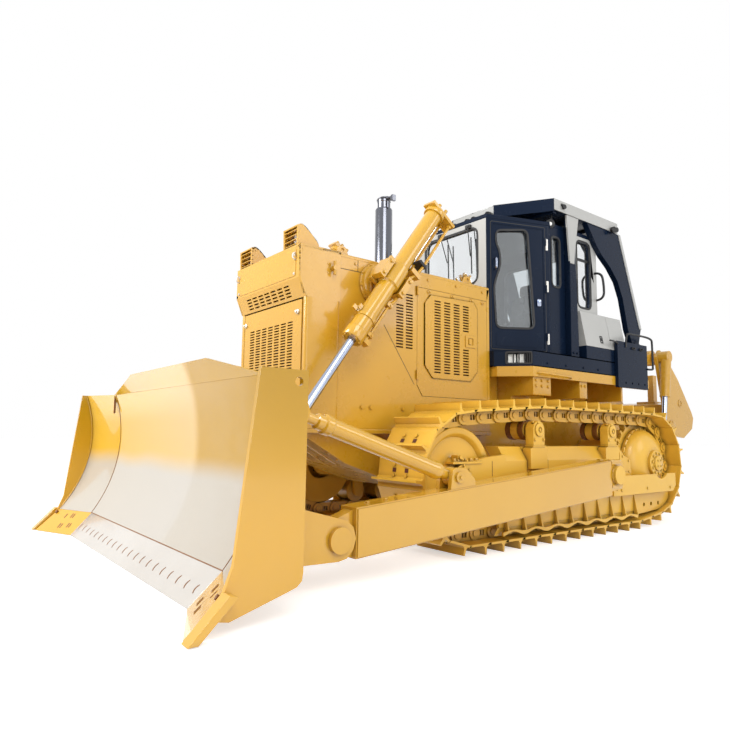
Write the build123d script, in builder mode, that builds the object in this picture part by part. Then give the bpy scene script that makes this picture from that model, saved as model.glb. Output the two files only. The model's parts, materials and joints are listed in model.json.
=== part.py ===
"""Track-type bulldozer with a semi-U blade on outside push arms, a canopied cab and a rear ripper.

Frame: +X forward, +Y to the left side, +Z up. The ground is z = 0 and all lengths are millimetres.
"""
from build123d import *
from math import atan2, cos, pi, radians, sin
import os

os.makedirs("parts", exist_ok=True)

# Clearances
seat_gap = 0.3              # between a turned piece and the seat that carries it
pin_gap = 0.6               # round a pin or rod that something moves on

# Tracks
gauge = 2140                # between the middles of the two tracks
shoe_width = 560
shoe_count = 41
plate_thickness = 20        # shoe plate
grouser_height = 75
grouser_base = 34
grouser_tip = 18
link_height = 120           # roller path to shoe plate
pin_height = 65             # roller path to the pin line
link_gap = 90               # between the two rails of links
link_thickness = 60

# Wheels that carry the tracks
wheelbase = 3150            # sprocket to idler
track_middle = 44           # X of the point half-way between them
idler_path_radius = 430
sprocket_pitch_radius = 496
sprocket_lift = 61          # of the sprocket above the idler
sprocket_teeth = 27
sprocket_width = 70
tooth_height = 22           # above the pitch circle
tooth_root = 34             # below the pitch circle
roller_radius = 112
roller_flange = 16
roller_half_width = 138
roller_count = 6
roller_behind_idler = 499   # first roller's axis, from the idler's
roller_before_sprocket = 531
carrier_radius = 85
carrier_behind_idler = 991
carrier_before_sprocket = 877
carrier_path = 1145         # height of the links' lower edge over the carrier rollers
straight_past_roller = 130  # the bottom run stays flat this far behind the last roller
chord_gap = 2.4             # straight links cut this far inside a bend over a carrier roller

# Track frames
frame_half_width = 190
frame_low = 470
frame_high = 700
frame_behind_idler = 499
frame_before_sprocket = 546
recoil_side = 770           # height of the recoil housing's upright sides
recoil_top = 900
fork_thickness = 55
hub_radius = 110
guard_thickness = 25        # plate outside the rollers

# Hull
hull_half_width = 450
hull_low = 500
hull_rear = -2150
deck_level = 1000           # top of the front hull, under the engine bay
deck_thickness = 40
rear_hull_top = 1732        # carries the cab, the fenders and the tank

# Engine bay
bay_half_width = 560        # middle of the side panels
panel_thickness = 40
bay_rear = 492
guard_rear = 2480
guard_front = 2830
guard_half_width = 600
hood_level = 2600
hood_thickness = 35
door_rear = 530
door_front = 1546
door_low = 1368
door_high = 2440
door_gap = 6

# Push frame and blade
arm_pivot_x = -186
arm_pivot_z = 630
arm_pin_x = 3174
arm_pin_z = 322
arm_clearance = 70          # from the shoes' ends to the arm
arm_width = 200
arm_pivot_radius = 90
arm_tongue = 50             # half-width of the arm's front end, between the blade's ears
wing_reach = 485            # how far a wing reaches out past the blade's bend
bend_inside_arm = 20        # the bend lies this far inside the middle of the push arm
wing_angle = 23.5
moldboard_thickness = 40
blade_top = 1355
spill_top = 1520            # top of the guard along the blade's middle
bit_width = 86
edge_top = 200
edge_run = 189              # how far the cutting edge leans forward
edge_thickness = 38
edge_low = 6                # rests just clear of the ground

# Lift cylinders
lift_pivot_x = 1966
lift_pivot_z = 2520
lift_y = 810
lift_eye_x = 3286
lift_eye_z = 720
barrel_radius = 82
barrel_above = 860          # trunnion to the closed end
barrel_below = 905          # trunnion to the gland
rod_radius = 38
rod_inside = 400            # rod's inner end, from the trunnion
eye_radius = 68
eye_width = 90

# Cab
cab_front = 490
cab_front_half = 545
cab_corner_x = -264
cab_inside_base = 125       # the cab's side stands this far inside the edge of its base
cab_rear = -1215
cab_floor = 1902
cab_top = 3450
cab_roof_thickness = 50
wall = 60
glass = 8
base_half_width = 950
base_corner_x = 230
base_rear = -1650

# Roll-over frame
canopy_low = 3570
canopy_high = 3700
canopy_front = 105
canopy_front_half = 330
canopy_corner_x = -250
canopy_rear = -1590
canopy_overhang = 50        # past the middle of the posts
post_outside_cab = 40
post_thickness = 70

# Ripper
ripper_pivot_x = -2500
ripper_pivot_z = 860
ripper_pin_x = -3600
ripper_pin_z = 1150
ripper_apex_x = -3330
ripper_apex_z = 2170
ripper_plate_y = 540
ripper_plate = 50
shank_behind_pin = 464      # the shank's front, from the carrier's pin
shank_depth = 112
shank_half = 50
pocket_wall = 157           # behind the shank
ripper_rod_radius = 35

track_y = gauge / 2
idler_x = track_middle + wheelbase / 2
sprocket_x = track_middle - wheelbase / 2
first_roller = idler_x - roller_behind_idler
last_roller = sprocket_x + roller_before_sprocket
roller_spacing = (first_roller - last_roller) / (roller_count - 1)
roller_places = [first_roller - k * roller_spacing for k in range(roller_count)]
carrier_places = (idler_x - carrier_behind_idler, sprocket_x + carrier_before_sprocket)
frame_front = idler_x - frame_behind_idler
frame_back = sprocket_x + frame_before_sprocket
arm_inner = track_y + shoe_width / 2 + arm_clearance
arm_middle = arm_inner + arm_width / 2
blade_bend = arm_middle - bend_inside_arm
blade_half_width = blade_bend + wing_reach
cab_half_width = base_half_width - cab_inside_base
shank_front = ripper_pin_x - shank_behind_pin
shank_rear = shank_front - shank_depth
pocket_rear = shank_rear - pocket_wall
post_y = cab_half_width + post_outside_cab
canopy_half_width = post_y + canopy_overhang
path_level = grouser_height + plate_thickness + link_height
idler_z = path_level + idler_path_radius
sprocket_z = idler_z + sprocket_lift
pin_radius = idler_path_radius + pin_height
roller_z = path_level + roller_radius + seat_gap
carrier_z = carrier_path - carrier_radius


def side_view(points, y_from, y_to, mode=Mode.ADD):
    """A piece cut to a side-view outline of (X, Z) points, from one distance across to another."""
    with BuildSketch(Plane.XZ.offset(-y_from)) as outline:
        Polygon(*points, align=None)
    extrude(outline.sketch, amount=y_from - y_to, mode=mode)


def plan_view(points, z_from, z_to, mode=Mode.ADD):
    """A piece cut to a plan outline of (X, Y) points, from one level to another."""
    with BuildSketch(Plane.XY.offset(z_from)) as outline:
        Polygon(*points, align=None)
    extrude(outline.sketch, amount=z_to - z_from, mode=mode)


def block(x_from, x_to, y_from, y_to, z_from, z_to, mode=Mode.ADD):
    """A plain rectangular piece between two corners."""
    side_view([(x_from, z_from), (x_to, z_from), (x_to, z_to), (x_from, z_to)], y_from, y_to, mode)


def disc(x, z, radius, y_from, y_to, mode=Mode.ADD):
    """A round piece whose axis runs across the machine."""
    with BuildSketch(Plane.XZ.offset(-y_from)) as outline:
        with Locations((x, z)):
            Circle(radius)
    extrude(outline.sketch, amount=y_from - y_to, mode=mode)


def rod_between(start, end, radius, mode=Mode.ADD):
    """A round bar from one point to another."""
    run = Vector(*end) - Vector(*start)
    with BuildSketch(Plane(origin=start, z_dir=run)) as outline:
        Circle(radius)
    extrude(outline.sketch, amount=run.length, mode=mode)


def save(piece, name):
    """Label one finished piece and write it."""
    piece.label = name
    export_step(piece, f"parts/{name}.step")


def save_both(left, name):
    """Write a left-hand piece and its mirror image as one node of separate solids."""
    with BuildPart() as both:
        add(left.part)
        mirror(left.part, about=Plane.XZ)
    save(both.part, name)


def save_pair(left, name):
    """Write a left-hand piece and its mirror image as two nodes."""
    save(left.part, f"{name}_left")
    with BuildPart() as right:
        mirror(left.part, about=Plane.XZ)
    save(right.part, f"{name}_right")


# Track: the pin line is the tightest line round the idler, rollers and sprocket.
roller_pin_radius = roller_radius + pin_height
carrier_pin_radius = carrier_radius + pin_height
wrap = [
    (idler_x, idler_z, pin_radius),
    (sprocket_x, sprocket_z, sprocket_pitch_radius),
    (carrier_places[0], carrier_z, carrier_pin_radius),
    (carrier_places[-1], carrier_z, carrier_pin_radius),
    (roller_places[-1] - straight_past_roller, path_level + roller_radius, roller_pin_radius),
]
with BuildSketch() as pin_line:
    with BuildLine():
        for x, z, radius in wrap:
            CenterArc((x, z), radius, 0, 360)
    make_hull()
pin_wire = pin_line.sketch.faces()[0].outer_wire()
pitch = pin_wire.length / shoe_count
pins = [pin_wire.position_at(k * pitch, position_mode=PositionMode.LENGTH) for k in range(shoe_count)]
with BuildSketch() as pin_loop:
    Polygon(*[(p.X, p.Y) for p in pins], align=None)
link_back = link_height - pin_height


def loop_ring(outer, inner, y_from, y_to):
    """A band that follows the pin line, between two distances from it."""
    with BuildSketch(Plane.XZ.offset(-y_from)) as band:
        offset(pin_loop.sketch, amount=outer, kind=Kind.INTERSECTION)
        offset(pin_loop.sketch, amount=inner, kind=Kind.INTERSECTION, mode=Mode.SUBTRACT)
    extrude(band.sketch, amount=y_from - y_to)


inner_half = shoe_width / 2
with BuildPart() as track:
    loop_ring(link_back + plate_thickness, link_back, track_y - inner_half, track_y + inner_half)
    for side in (-1, 1):
        rail_inner = track_y + side * link_gap / 2
        loop_ring(link_back, -pin_height, rail_inner, rail_inner + side * link_thickness)
    with BuildSketch(Plane.XZ.offset(inner_half - track_y)) as grousers:
        for k in range(shoe_count):
            here = pins[k]
            there = pins[(k + 1) % shoe_count]
            run = (there - here).normalized()
            out = Vector(-run.Y, run.X)
            foot = here + run * pitch * 0.18 + out * (link_back + plate_thickness - 1)
            tip = foot + out * (grouser_height + 1)
            corners = [foot - run * grouser_base / 2, foot + run * grouser_base / 2,
                       tip + run * grouser_tip / 2, tip - run * grouser_tip / 2]
            Polygon(*[(p.X, p.Y) for p in corners], align=None)
    extrude(grousers.sketch, amount=-shoe_width)
save_pair(track, "track")

# Idler: two treads that the links run on, with a flange between the rails of links.
half_pitch_angle = pitch / pin_radius / 2
idler_tread = pin_radius * cos(half_pitch_angle) - pin_height - seat_gap
idler_flange = idler_tread + 24
flange_half = link_gap / 2 - 3
tread_half = link_gap / 2 + link_thickness + 8
idler_hub_half = frame_half_width - fork_thickness - seat_gap
with BuildPart() as idler:
    disc(idler_x, idler_z, idler_flange, track_y - flange_half, track_y + flange_half)
    disc(idler_x, idler_z, idler_tread, track_y - tread_half, track_y + tread_half)
    for side in (-1, 1):
        face = track_y + side * tread_half
        disc(idler_x, idler_z, idler_tread - 50, face, face - side * 40, Mode.SUBTRACT)
    disc(idler_x, idler_z, hub_radius + 30, track_y - idler_hub_half, track_y + idler_hub_half)
save_both(idler, "idlers")

# Sprocket: teeth stand between the pins, so the nearest pin to its rear sets where they start.
rear_pin = min(pins, key=lambda p: p.X)
first_gap = atan2(rear_pin.Y - sprocket_z, rear_pin.X - sprocket_x)
tooth_angle = 2 * pi / sprocket_teeth


def tooth_corner(turn, reach):
    """A point of the toothed ring, at an angle from the first gap and a radius."""
    angle = first_gap + turn
    return (sprocket_x + reach * cos(angle), sprocket_z + reach * sin(angle))


teeth = []
for k in range(sprocket_teeth):
    middle = (k + 0.5) * tooth_angle
    for share, reach in ((-0.20, -tooth_root), (-0.09, tooth_height), (0.09, tooth_height),
                         (0.20, -tooth_root)):
        teeth.append(tooth_corner(middle + share * tooth_angle, sprocket_pitch_radius + reach))
sprocket_half = sprocket_width / 2
with BuildPart() as sprocket:
    side_view(teeth, track_y - sprocket_half, track_y + sprocket_half)
save_both(sprocket, "sprockets")

# Final drives: a wide drum from the hull to the sprocket, and a domed cover outside it.
dome_steps = ((400, sprocket_half, 120), (350, 120, 175), (270, 175, 225), (146, 225, 273))
with BuildPart() as final_drive:
    disc(sprocket_x, sprocket_z, 300, hull_half_width, track_y - sprocket_half)
    for radius, near, far in dome_steps:
        disc(sprocket_x, sprocket_z, radius, track_y + near, track_y + far)
save_both(final_drive, "final_drives")

# Track rollers hang under the frame, each on a shaft between two collars.
flange_from = link_gap / 2 + link_thickness + 3
with BuildPart() as rollers:
    for x in roller_places:
        disc(x, roller_z, roller_radius, track_y - flange_from, track_y + flange_from)
        for side in (-1, 1):
            near = track_y + side * flange_from
            disc(x, roller_z, roller_radius + roller_flange, near, track_y + side * (flange_from + 14))
        disc(x, roller_z, 50, track_y - roller_half_width, track_y + roller_half_width)
save_both(rollers, "track_rollers")

# Carrier rollers stand on posts and hold the top run of the track.
with BuildPart() as carriers:
    for x in carrier_places:
        disc(x, carrier_z, carrier_radius - chord_gap, track_y - flange_from, track_y + flange_from)
        disc(x, carrier_z, carrier_radius + 12, track_y - flange_half, track_y + flange_half)
        disc(x, carrier_z, 45, track_y, track_y + roller_half_width)
save_both(carriers, "carrier_rollers")

# Track frame: a box beam, the recoil housing on it, the idler fork and the roller collars. A notched bar
# outside
# the shoes guards the final drive.
bar_inner = track_y + shoe_width / 2 + 12
bar_back = sprocket_x - 325
bar_lead = frame_back + 478
notch_radius = 172
guard_y = track_y + frame_half_width
post_shoulder = 900         # a carrier roller's post narrows to its clamp here
clamp_half = 85
rail_low = 125              # the rail along the foot of the roller guard, just above the shoes
rail_top = 190
rib_pitch = 138
rib_count = 16
rib_thickness = 14
scallop_radius = 90
scallop_rise = 22
sprocket_guard_reach = 535
sprocket_guard_top = 365
collar_inner = roller_half_width + seat_gap
with BuildPart() as track_frame:
    side_view([(frame_back, frame_low + 40), (frame_back + 60, frame_low), (frame_front, frame_low),
               (frame_front, frame_high), (frame_back, frame_high)],
              track_y - frame_half_width, track_y + frame_half_width)
    with BuildSketch(Plane.YZ.offset(frame_back)) as recoil:
        Polygon((track_y - frame_half_width, frame_high), (track_y + frame_half_width, frame_high),
                (track_y + frame_half_width, recoil_side), (track_y + 105, recoil_top),
                (track_y - 105, recoil_top),
                (track_y - frame_half_width, recoil_side), align=None)
    extrude(recoil.sketch, amount=frame_front - 40 - frame_back)
    for side in (-1, 1):
        outer = track_y + side * frame_half_width
        inner = outer - side * fork_thickness
        side_view([(frame_front, frame_low + 60), (idler_x, idler_z - hub_radius),
                   (idler_x, idler_z + hub_radius),
                   (frame_front + 190, frame_high + 110), (frame_front - 45, recoil_side + 60),
                   (frame_front - 45, frame_high)], inner, outer)
        disc(idler_x, idler_z, hub_radius, inner, outer)
        side_view([(frame_back - 110, frame_low), (frame_back, frame_low), (frame_back, frame_high),
                   (frame_back - 110, frame_high - 60)], inner, outer)
        for x in roller_places:
            near = track_y + side * collar_inner
            block(x - 60, x + 60, near, outer, roller_z, frame_low)
            disc(x, roller_z, 60, near, outer)
    for x in carrier_places:
        near = track_y + roller_half_width + seat_gap
        side_view([(x - 130, frame_high - 5), (x + 130, frame_high - 5), (x + 130, post_shoulder - 20),
                   (x + clamp_half, post_shoulder), (x + clamp_half, carrier_z), (x - clamp_half, carrier_z),
                   (x - clamp_half, post_shoulder), (x - 130, post_shoulder - 20)], near, guard_y + 40)
        disc(x, carrier_z, clamp_half, near, guard_y + 40)
    plate_rear = frame_back - 105
    plate_front = frame_front + 90
    side_view([(plate_rear, rail_top), (plate_front, rail_top), (plate_front, 560), (plate_front - 100, 620),
               (plate_rear + 110, 620), (plate_rear, 540)], guard_y, guard_y + guard_thickness)
    rail_near = guard_y + guard_thickness
    side_view([(plate_rear, rail_low), (plate_front + 60, rail_low), (plate_front, rail_top + 15),
               (plate_rear, rail_top + 15)], rail_near - 5, rail_near + guard_thickness)
    for k in range(rib_count):
        x = plate_rear + 60 + k * rib_pitch
        disc(x + rib_pitch / 2, rail_low - scallop_radius + scallop_rise, scallop_radius, rail_near - 5,
             rail_near + guard_thickness, Mode.SUBTRACT)
        with BuildSketch(Plane.YZ.offset(x)) as rib:
            Polygon((rail_near, rail_top + 10), (rail_near + guard_thickness, rail_top + 10),
                    (rail_near, 420),
                    align=None)
        extrude(rib.sketch, amount=rib_thickness)
    with BuildSketch(Plane.XZ.offset(-guard_y)) as sprocket_guard:
        with BuildLine():
            guard_foot = sprocket_z - sprocket_guard_reach
            low_arc = ThreePointArc((sprocket_x, guard_foot), (sprocket_x - 179, guard_foot + 31),
                                    (sprocket_x - 339, guard_foot + 121))
            Polyline(low_arc @ 1, (sprocket_x - 339, sprocket_guard_top),
                     (plate_rear + 20, sprocket_guard_top),
                     (plate_rear + 20, rail_low + 20), (sprocket_x + 231, rail_low + 30), low_arc @ 0)
        make_face()
    extrude(sprocket_guard.sketch, amount=-guard_thickness)
    for x in (230, 70, -90):
        disc(sprocket_x + x, guard_foot + 75, 22, guard_y, guard_y + guard_thickness, Mode.SUBTRACT)
    disc(arm_pivot_x, arm_pivot_z, arm_pivot_radius, guard_y, arm_inner + arm_width + 30)
    side_view([(bar_back, 590), (bar_back, 450), (bar_back + 70, 385), (bar_lead, 385), (bar_lead, 625),
               (bar_lead - 120, 590)], bar_inner, bar_inner + guard_thickness)
    disc(sprocket_x, sprocket_z, notch_radius, bar_inner, bar_inner + guard_thickness, Mode.SUBTRACT)
    block(bar_lead - 120, bar_lead, guard_y, bar_inner, 385, 560)
save_both(track_frame, "track_frames")

# Cross members between the track frames and the hull.
bar_front = frame_front - 40
bar_rear = frame_front - 200
bar_low = 580
bar_high = 720
with BuildPart() as cross_members:
    for side in (-1, 1):
        reach = side * (track_y - frame_half_width)
        disc(frame_back + 225, 600, 95, side * hull_half_width, reach)
    block(bar_rear, bar_front, frame_half_width - track_y, track_y - frame_half_width, bar_low, bar_high)
save(cross_members.part, "cross_members")

# Hull: the belly case, its deck and the higher rear case.
with BuildPart() as hull:
    side_view([(hull_rear, 640), (-1850, hull_low), (1600, hull_low), (2300, 740),
               (guard_front - 60, deck_level),
               (bay_rear, deck_level), (bay_rear - 60, rear_hull_top), (hull_rear, rear_hull_top)],
              -hull_half_width, hull_half_width)
    block(bay_rear, guard_front, -guard_half_width, guard_half_width, deck_level, deck_level + deck_thickness)
    block(bar_rear - 20, bar_front + 20, -hull_half_width, hull_half_width, bar_low - 20, bar_high,
          Mode.SUBTRACT)
save(hull.part, "hull")

# Engine: one plain block on the deck, inside the bay.
bay_floor = deck_level + deck_thickness
with BuildPart() as engine:
    block(700, 2250, -380, 380, bay_floor, 2250)
save(engine.part, "engine_block")

# Hinges of the doors: a leaf on the door turns between two leaves on its frame.
knuckle_radius = 12
knuckle_length = 90
leaf_length = 32


def hinge_leaf(pivot, way, out, z_from, z_to):
    """A knuckle and the flat leaf that joins it to a skin lying just inside it."""
    centre = Vector(*pivot)
    end = centre + way * leaf_length
    inward = out * (knuckle_radius + seat_gap)
    with BuildSketch(Plane.XY.offset(z_from)) as plan:
        with Locations(centre):
            Circle(knuckle_radius)
        Polygon(*[(p.X, p.Y) for p in (centre, end, end - inward, centre + way * 7 - inward)], align=None)
    extrude(plan.sketch, amount=z_to - z_from)


def hinge(pivot, way, out, levels, on_door):
    """The leaves of one side of a hinge, at each level."""
    for z in levels:
        if on_door:
            hinge_leaf(pivot, way, out, z - knuckle_length / 2, z + knuckle_length / 2)
        else:
            for side in (-1, 1):
                near = z + side * (knuckle_length / 2 + seat_gap)
                hinge_leaf(pivot, -way, out, near, near + side * knuckle_length / 2)


# Side panel of the bay, with its doorway and a recessed field for the fixed grille.
panel_inner = bay_half_width - panel_thickness / 2
panel_outer = bay_half_width + panel_thickness / 2
hood_under = hood_level - hood_thickness
engine_hinge = (door_front + door_gap / 2, panel_outer + knuckle_radius + seat_gap)
engine_door_way = Vector(-1, 0)
across = Vector(0, 1)
engine_hinge_levels = (door_low + 204, door_high - 50)
louvre_depth = 12
fixed_louvres = ((1595, 1688, 1826, 2340), (1721, 1794, 1817, 2235))
with BuildPart() as side_panel:
    side_view([(bay_rear, bay_floor), (guard_rear, bay_floor), (guard_rear, hood_under),
               (bay_rear, hood_under)],
              panel_inner, panel_outer)
    block(door_rear - door_gap, door_front + door_gap, panel_inner, panel_outer, door_low - door_gap,
          door_high + door_gap, Mode.SUBTRACT)
    for x_from, x_to, z_from, z_to in fixed_louvres:
        block(x_from, x_to, panel_outer - louvre_depth, panel_outer, z_from, z_to, Mode.SUBTRACT)
    hinge(engine_hinge, engine_door_way, across, engine_hinge_levels, on_door=False)
save_both(side_panel, "side_panels")

# Engine door, hinged along its front edge: a raised field with clipped corners carries four columns of
# louvres.
louvre_columns = 4
column_pitch = 137
column_width = 92
first_column = door_rear + 292
door_notch = (74, 110)
field_rise = 8
field_low = door_low + 182
field_high = door_high - 45
with BuildPart() as engine_door:
    side_view([(door_rear, door_low), (door_front - door_notch[0], door_low),
               (door_front, door_low + door_notch[1]),
               (door_front, door_high), (door_rear, door_high)], panel_inner, panel_outer)
    side_view([(door_rear + 270, field_low), (door_front - 200, field_low),
               (door_front - 94, field_low + 120),
               (door_front - 94, field_high - 110), (door_front - 168, field_high - 15),
               (door_rear + 215, field_high),
               (door_rear + 160, field_high - 70), (door_rear + 160, field_low + 108)],
              panel_outer, panel_outer + field_rise)
    for k in range(louvre_columns):
        x = first_column + k * column_pitch
        block(x, x + column_width, panel_outer + field_rise - louvre_depth, panel_outer + field_rise,
              field_low + 55, field_high - 60, Mode.SUBTRACT)
    hinge(engine_hinge, engine_door_way, across, engine_hinge_levels, on_door=True)
save_pair(engine_door, "engine_door")

# Hood over the engine, with the exhaust's seat.
exhaust_x = 1668
exhaust_y = 200
exhaust_radius = 88
exhaust_top = 3430
with BuildPart() as hood:
    block(bay_rear, guard_rear, -panel_outer, panel_outer, hood_under, hood_level)
save(hood.part, "hood")

# Exhaust stack on the hood.
with BuildPart() as exhaust:
    for z_from, z_to, radius in ((hood_level, 2640, 130), (2640, 3300, exhaust_radius),
                                 (3300, exhaust_top, 70)):
        with BuildSketch(Plane.XY.offset(z_from)) as section:
            with Locations((exhaust_x, exhaust_y)):
                Circle(radius)
        extrude(section.sketch, amount=z_to - z_from)
save(exhaust.part, "exhaust")

# Radiator guard: an open-fronted housing with a sloping brow, and the core inside it.
brow_level = 2150
brow_front = guard_front + 65
with BuildPart() as radiator_guard:
    side_view([(guard_rear, bay_floor), (guard_front, bay_floor), (guard_front, brow_level),
               (brow_front, 2310),
               (brow_front, hood_level), (guard_rear, hood_level)], -guard_half_width, guard_half_width)
    block(guard_rear, guard_front + 1, -545, 545, bay_floor, brow_level, Mode.SUBTRACT)
save(radiator_guard.part, "radiator_guard")
with BuildPart() as radiator_core:
    block(guard_rear + 60, guard_front - 110, -545, 545, bay_floor, brow_level)
save(radiator_core.part, "radiator_core")

# Grille: slots in rows and columns.
slot_length = 90
slot_height = 34
slot_columns = 7
slot_rows = 12
slot_pitch_y = 114
slot_pitch_z = 70
slots_middle = 1560
with BuildPart() as grille:
    block(guard_front - 40, guard_front, -545, 545, bay_floor, brow_level)
    with BuildSketch(Plane.YZ.offset(guard_front - 40)) as slots:
        with Locations((0, slots_middle)):
            with GridLocations(slot_pitch_y, slot_pitch_z, slot_columns, slot_rows):
                Rectangle(slot_length, slot_height)
    extrude(slots.sketch, amount=40, mode=Mode.SUBTRACT)
save(grille.part, "grille")

# Lamp boxes on the brow of the radiator guard: a roof that arches down to the rear, and an open front.
lamp_inner = 312
lamp_outer = 548
lamp_wall = 12
with BuildPart() as lamp_box:
    with BuildSketch(Plane.XZ.offset(-lamp_inner)) as lamp_side:
        with BuildLine():
            lamp_roof = Spline((brow_front + 5, hood_level + 175), (brow_front - 44, hood_level + 186),
                               (brow_front - 108, hood_level + 145), (brow_front - 194, hood_level + 67),
                               (brow_front - 224, hood_level))
            Polyline(lamp_roof @ 1, (brow_front, hood_level), lamp_roof @ 0)
        make_face()
    extrude(lamp_side.sketch, amount=lamp_inner - lamp_outer)
    block(brow_front - 75, brow_front + 5, lamp_inner + lamp_wall, lamp_outer - lamp_wall,
          hood_level + lamp_wall, hood_level + 160, Mode.SUBTRACT)
save_both(lamp_box, "lamp_boxes")

# Lift cylinder brackets on the bay's side.
bracket_outer = lift_y - 110
with BuildPart() as lift_bracket:
    disc(lift_pivot_x, lift_pivot_z - 80, 190, panel_outer, bracket_outer - 60)
    disc(lift_pivot_x, lift_pivot_z, 105, bracket_outer - 60, bracket_outer)
save_both(lift_bracket, "lift_brackets")

# Lift cylinder: barrel on its trunnion, rod to the eye behind the blade.
lift_run = Vector(lift_eye_x - lift_pivot_x, 0, lift_eye_z - lift_pivot_z)
lift_length = lift_run.length
lift_way = lift_run.normalized()
trunnion = Vector(lift_pivot_x, lift_y, lift_pivot_z)


def along_lift(distance):
    """A point on the cylinder's axis, measured from the trunnion towards the eye."""
    point = trunnion + lift_way * distance
    return (point.X, point.Y, point.Z)


with BuildPart() as barrel:
    rod_between(along_lift(-barrel_above), along_lift(barrel_below), barrel_radius)
    rod_between(along_lift(-90), along_lift(90), barrel_radius + 22)
    rod_between(along_lift(barrel_below - 110), along_lift(barrel_below), barrel_radius + 18)
    disc(lift_pivot_x, lift_pivot_z, 90, bracket_outer + seat_gap, lift_y)
    rod_between(along_lift(rod_inside - 1020), along_lift(barrel_below), rod_radius + pin_gap, Mode.SUBTRACT)
save_pair(barrel, "lift_barrel")
with BuildPart() as lift_rod:
    rod_between(along_lift(rod_inside), along_lift(lift_length - 30), rod_radius)
    disc(lift_eye_x, lift_eye_z, eye_radius, lift_y - eye_width / 2, lift_y + eye_width / 2)
save_pair(lift_rod, "lift_rod")

# Push arm: box beam from the trunnion on the track frame to the pin behind the blade.
brace_rear = (2040, 680)
brace_half = 45             # half the width of a brace eye
brace_ear = 38
arm_end = arm_pin_x - 150
with BuildPart() as push_arm:
    side_view([(arm_pivot_x, 437), (arm_end, 180), (arm_end, 517), (arm_pivot_x, 783)],
              arm_inner, arm_inner + arm_width)
    disc(arm_pivot_x, arm_pivot_z, 195, arm_inner, arm_inner + arm_width)
    side_view([(arm_end, 190), (arm_pin_x, arm_pin_z - 120), (arm_pin_x, arm_pin_z + 120), (arm_end, 495)],
              arm_middle - arm_tongue, arm_middle + arm_tongue)
    disc(arm_pin_x, arm_pin_z, 120, arm_middle - arm_tongue, arm_middle + arm_tongue)
    disc(arm_pivot_x, arm_pivot_z, arm_pivot_radius + pin_gap, arm_inner, arm_inner + arm_width,
         Mode.SUBTRACT)
    for edge in (-1, 1):
        near = arm_middle + edge * brace_half
        x, z = brace_rear
        side_view([(x - 190, z - 130), (x + 95, z - 130), (x + 70, z + 45), (x + 30, z + 72),
                   (x - 60, z + 72),
                   (x - 180, z - 20)], near, near + edge * brace_ear)
save_both(push_arm, "push_arms")

# Blade: one section swept along the bent line of the moldboard.
tip_extra = 60
wing_run = blade_half_width - blade_bend + tip_extra
wing_forward = wing_run * sin(radians(wing_angle)) / cos(radians(wing_angle))
edge_back_x = 3909
lean_top_x = 3734
hollow_x = 3672
hollow_z = 780


def blade_path(x):
    """The bent line of the blade in plan, from the right wing's end to the left one's."""
    return [(x + wing_forward, -blade_bend - wing_run), (x, -blade_bend), (x, blade_bend),
            (x + wing_forward, blade_bend + wing_run)]


def sweep_blade(section):
    """Sweep a section, drawn in (X, Z) about the blade's line, along the blade."""
    with BuildLine() as line:
        Polyline(*blade_path(edge_back_x))
    path = line.wire()
    along = path % 0
    start = Plane(origin=path @ 0, x_dir=Vector(along.Y, -along.X, 0), z_dir=-along)
    sweep(start.location * section, path=path, transition=Transition.RIGHT)


def trim_ends(half_width):
    """Cut what was swept at the same distance either side of the middle."""
    split(bisect_by=Plane.XZ.offset(-half_width), keep=Keep.TOP)
    split(bisect_by=Plane.XZ.offset(half_width), keep=Keep.BOTTOM)


deep_x = hollow_x - edge_back_x
lean_x = lean_top_x - edge_back_x
with BuildSketch() as moldboard_section:
    with BuildLine():
        front = ThreePointArc((lean_x, blade_top), (deep_x, hollow_z), (0, edge_top))
        Line(front @ 1, (-moldboard_thickness, edge_top - 25))
        rear = ThreePointArc((-moldboard_thickness, edge_top - 25), (deep_x - moldboard_thickness, hollow_z),
                             (lean_x - moldboard_thickness, blade_top))
        Line(rear @ 1, front @ 0)
    make_face()
with BuildSketch() as edge_section:
    Polygon((0, edge_top), (edge_run, edge_low), (edge_run - edge_thickness, edge_low),
            (-moldboard_thickness, edge_top - 25), align=None)
beam_back = -330
with BuildSketch() as lower_beam:
    Polygon((beam_back, 240), (beam_back, 600), (-230, 600), (-60, 240), align=None)
with BuildSketch() as upper_beam:
    Polygon((beam_back, 1120), (beam_back, 1320), (-200, 1320), (-250, 1120), align=None)
plate_thick = 30
plate_inner = blade_half_width - plate_thick
beam_x = edge_back_x + beam_back
ear_gap = 10                # either side of the lift eye
ear_thickness = 30
brace_front = (3470, 1137)
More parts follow.
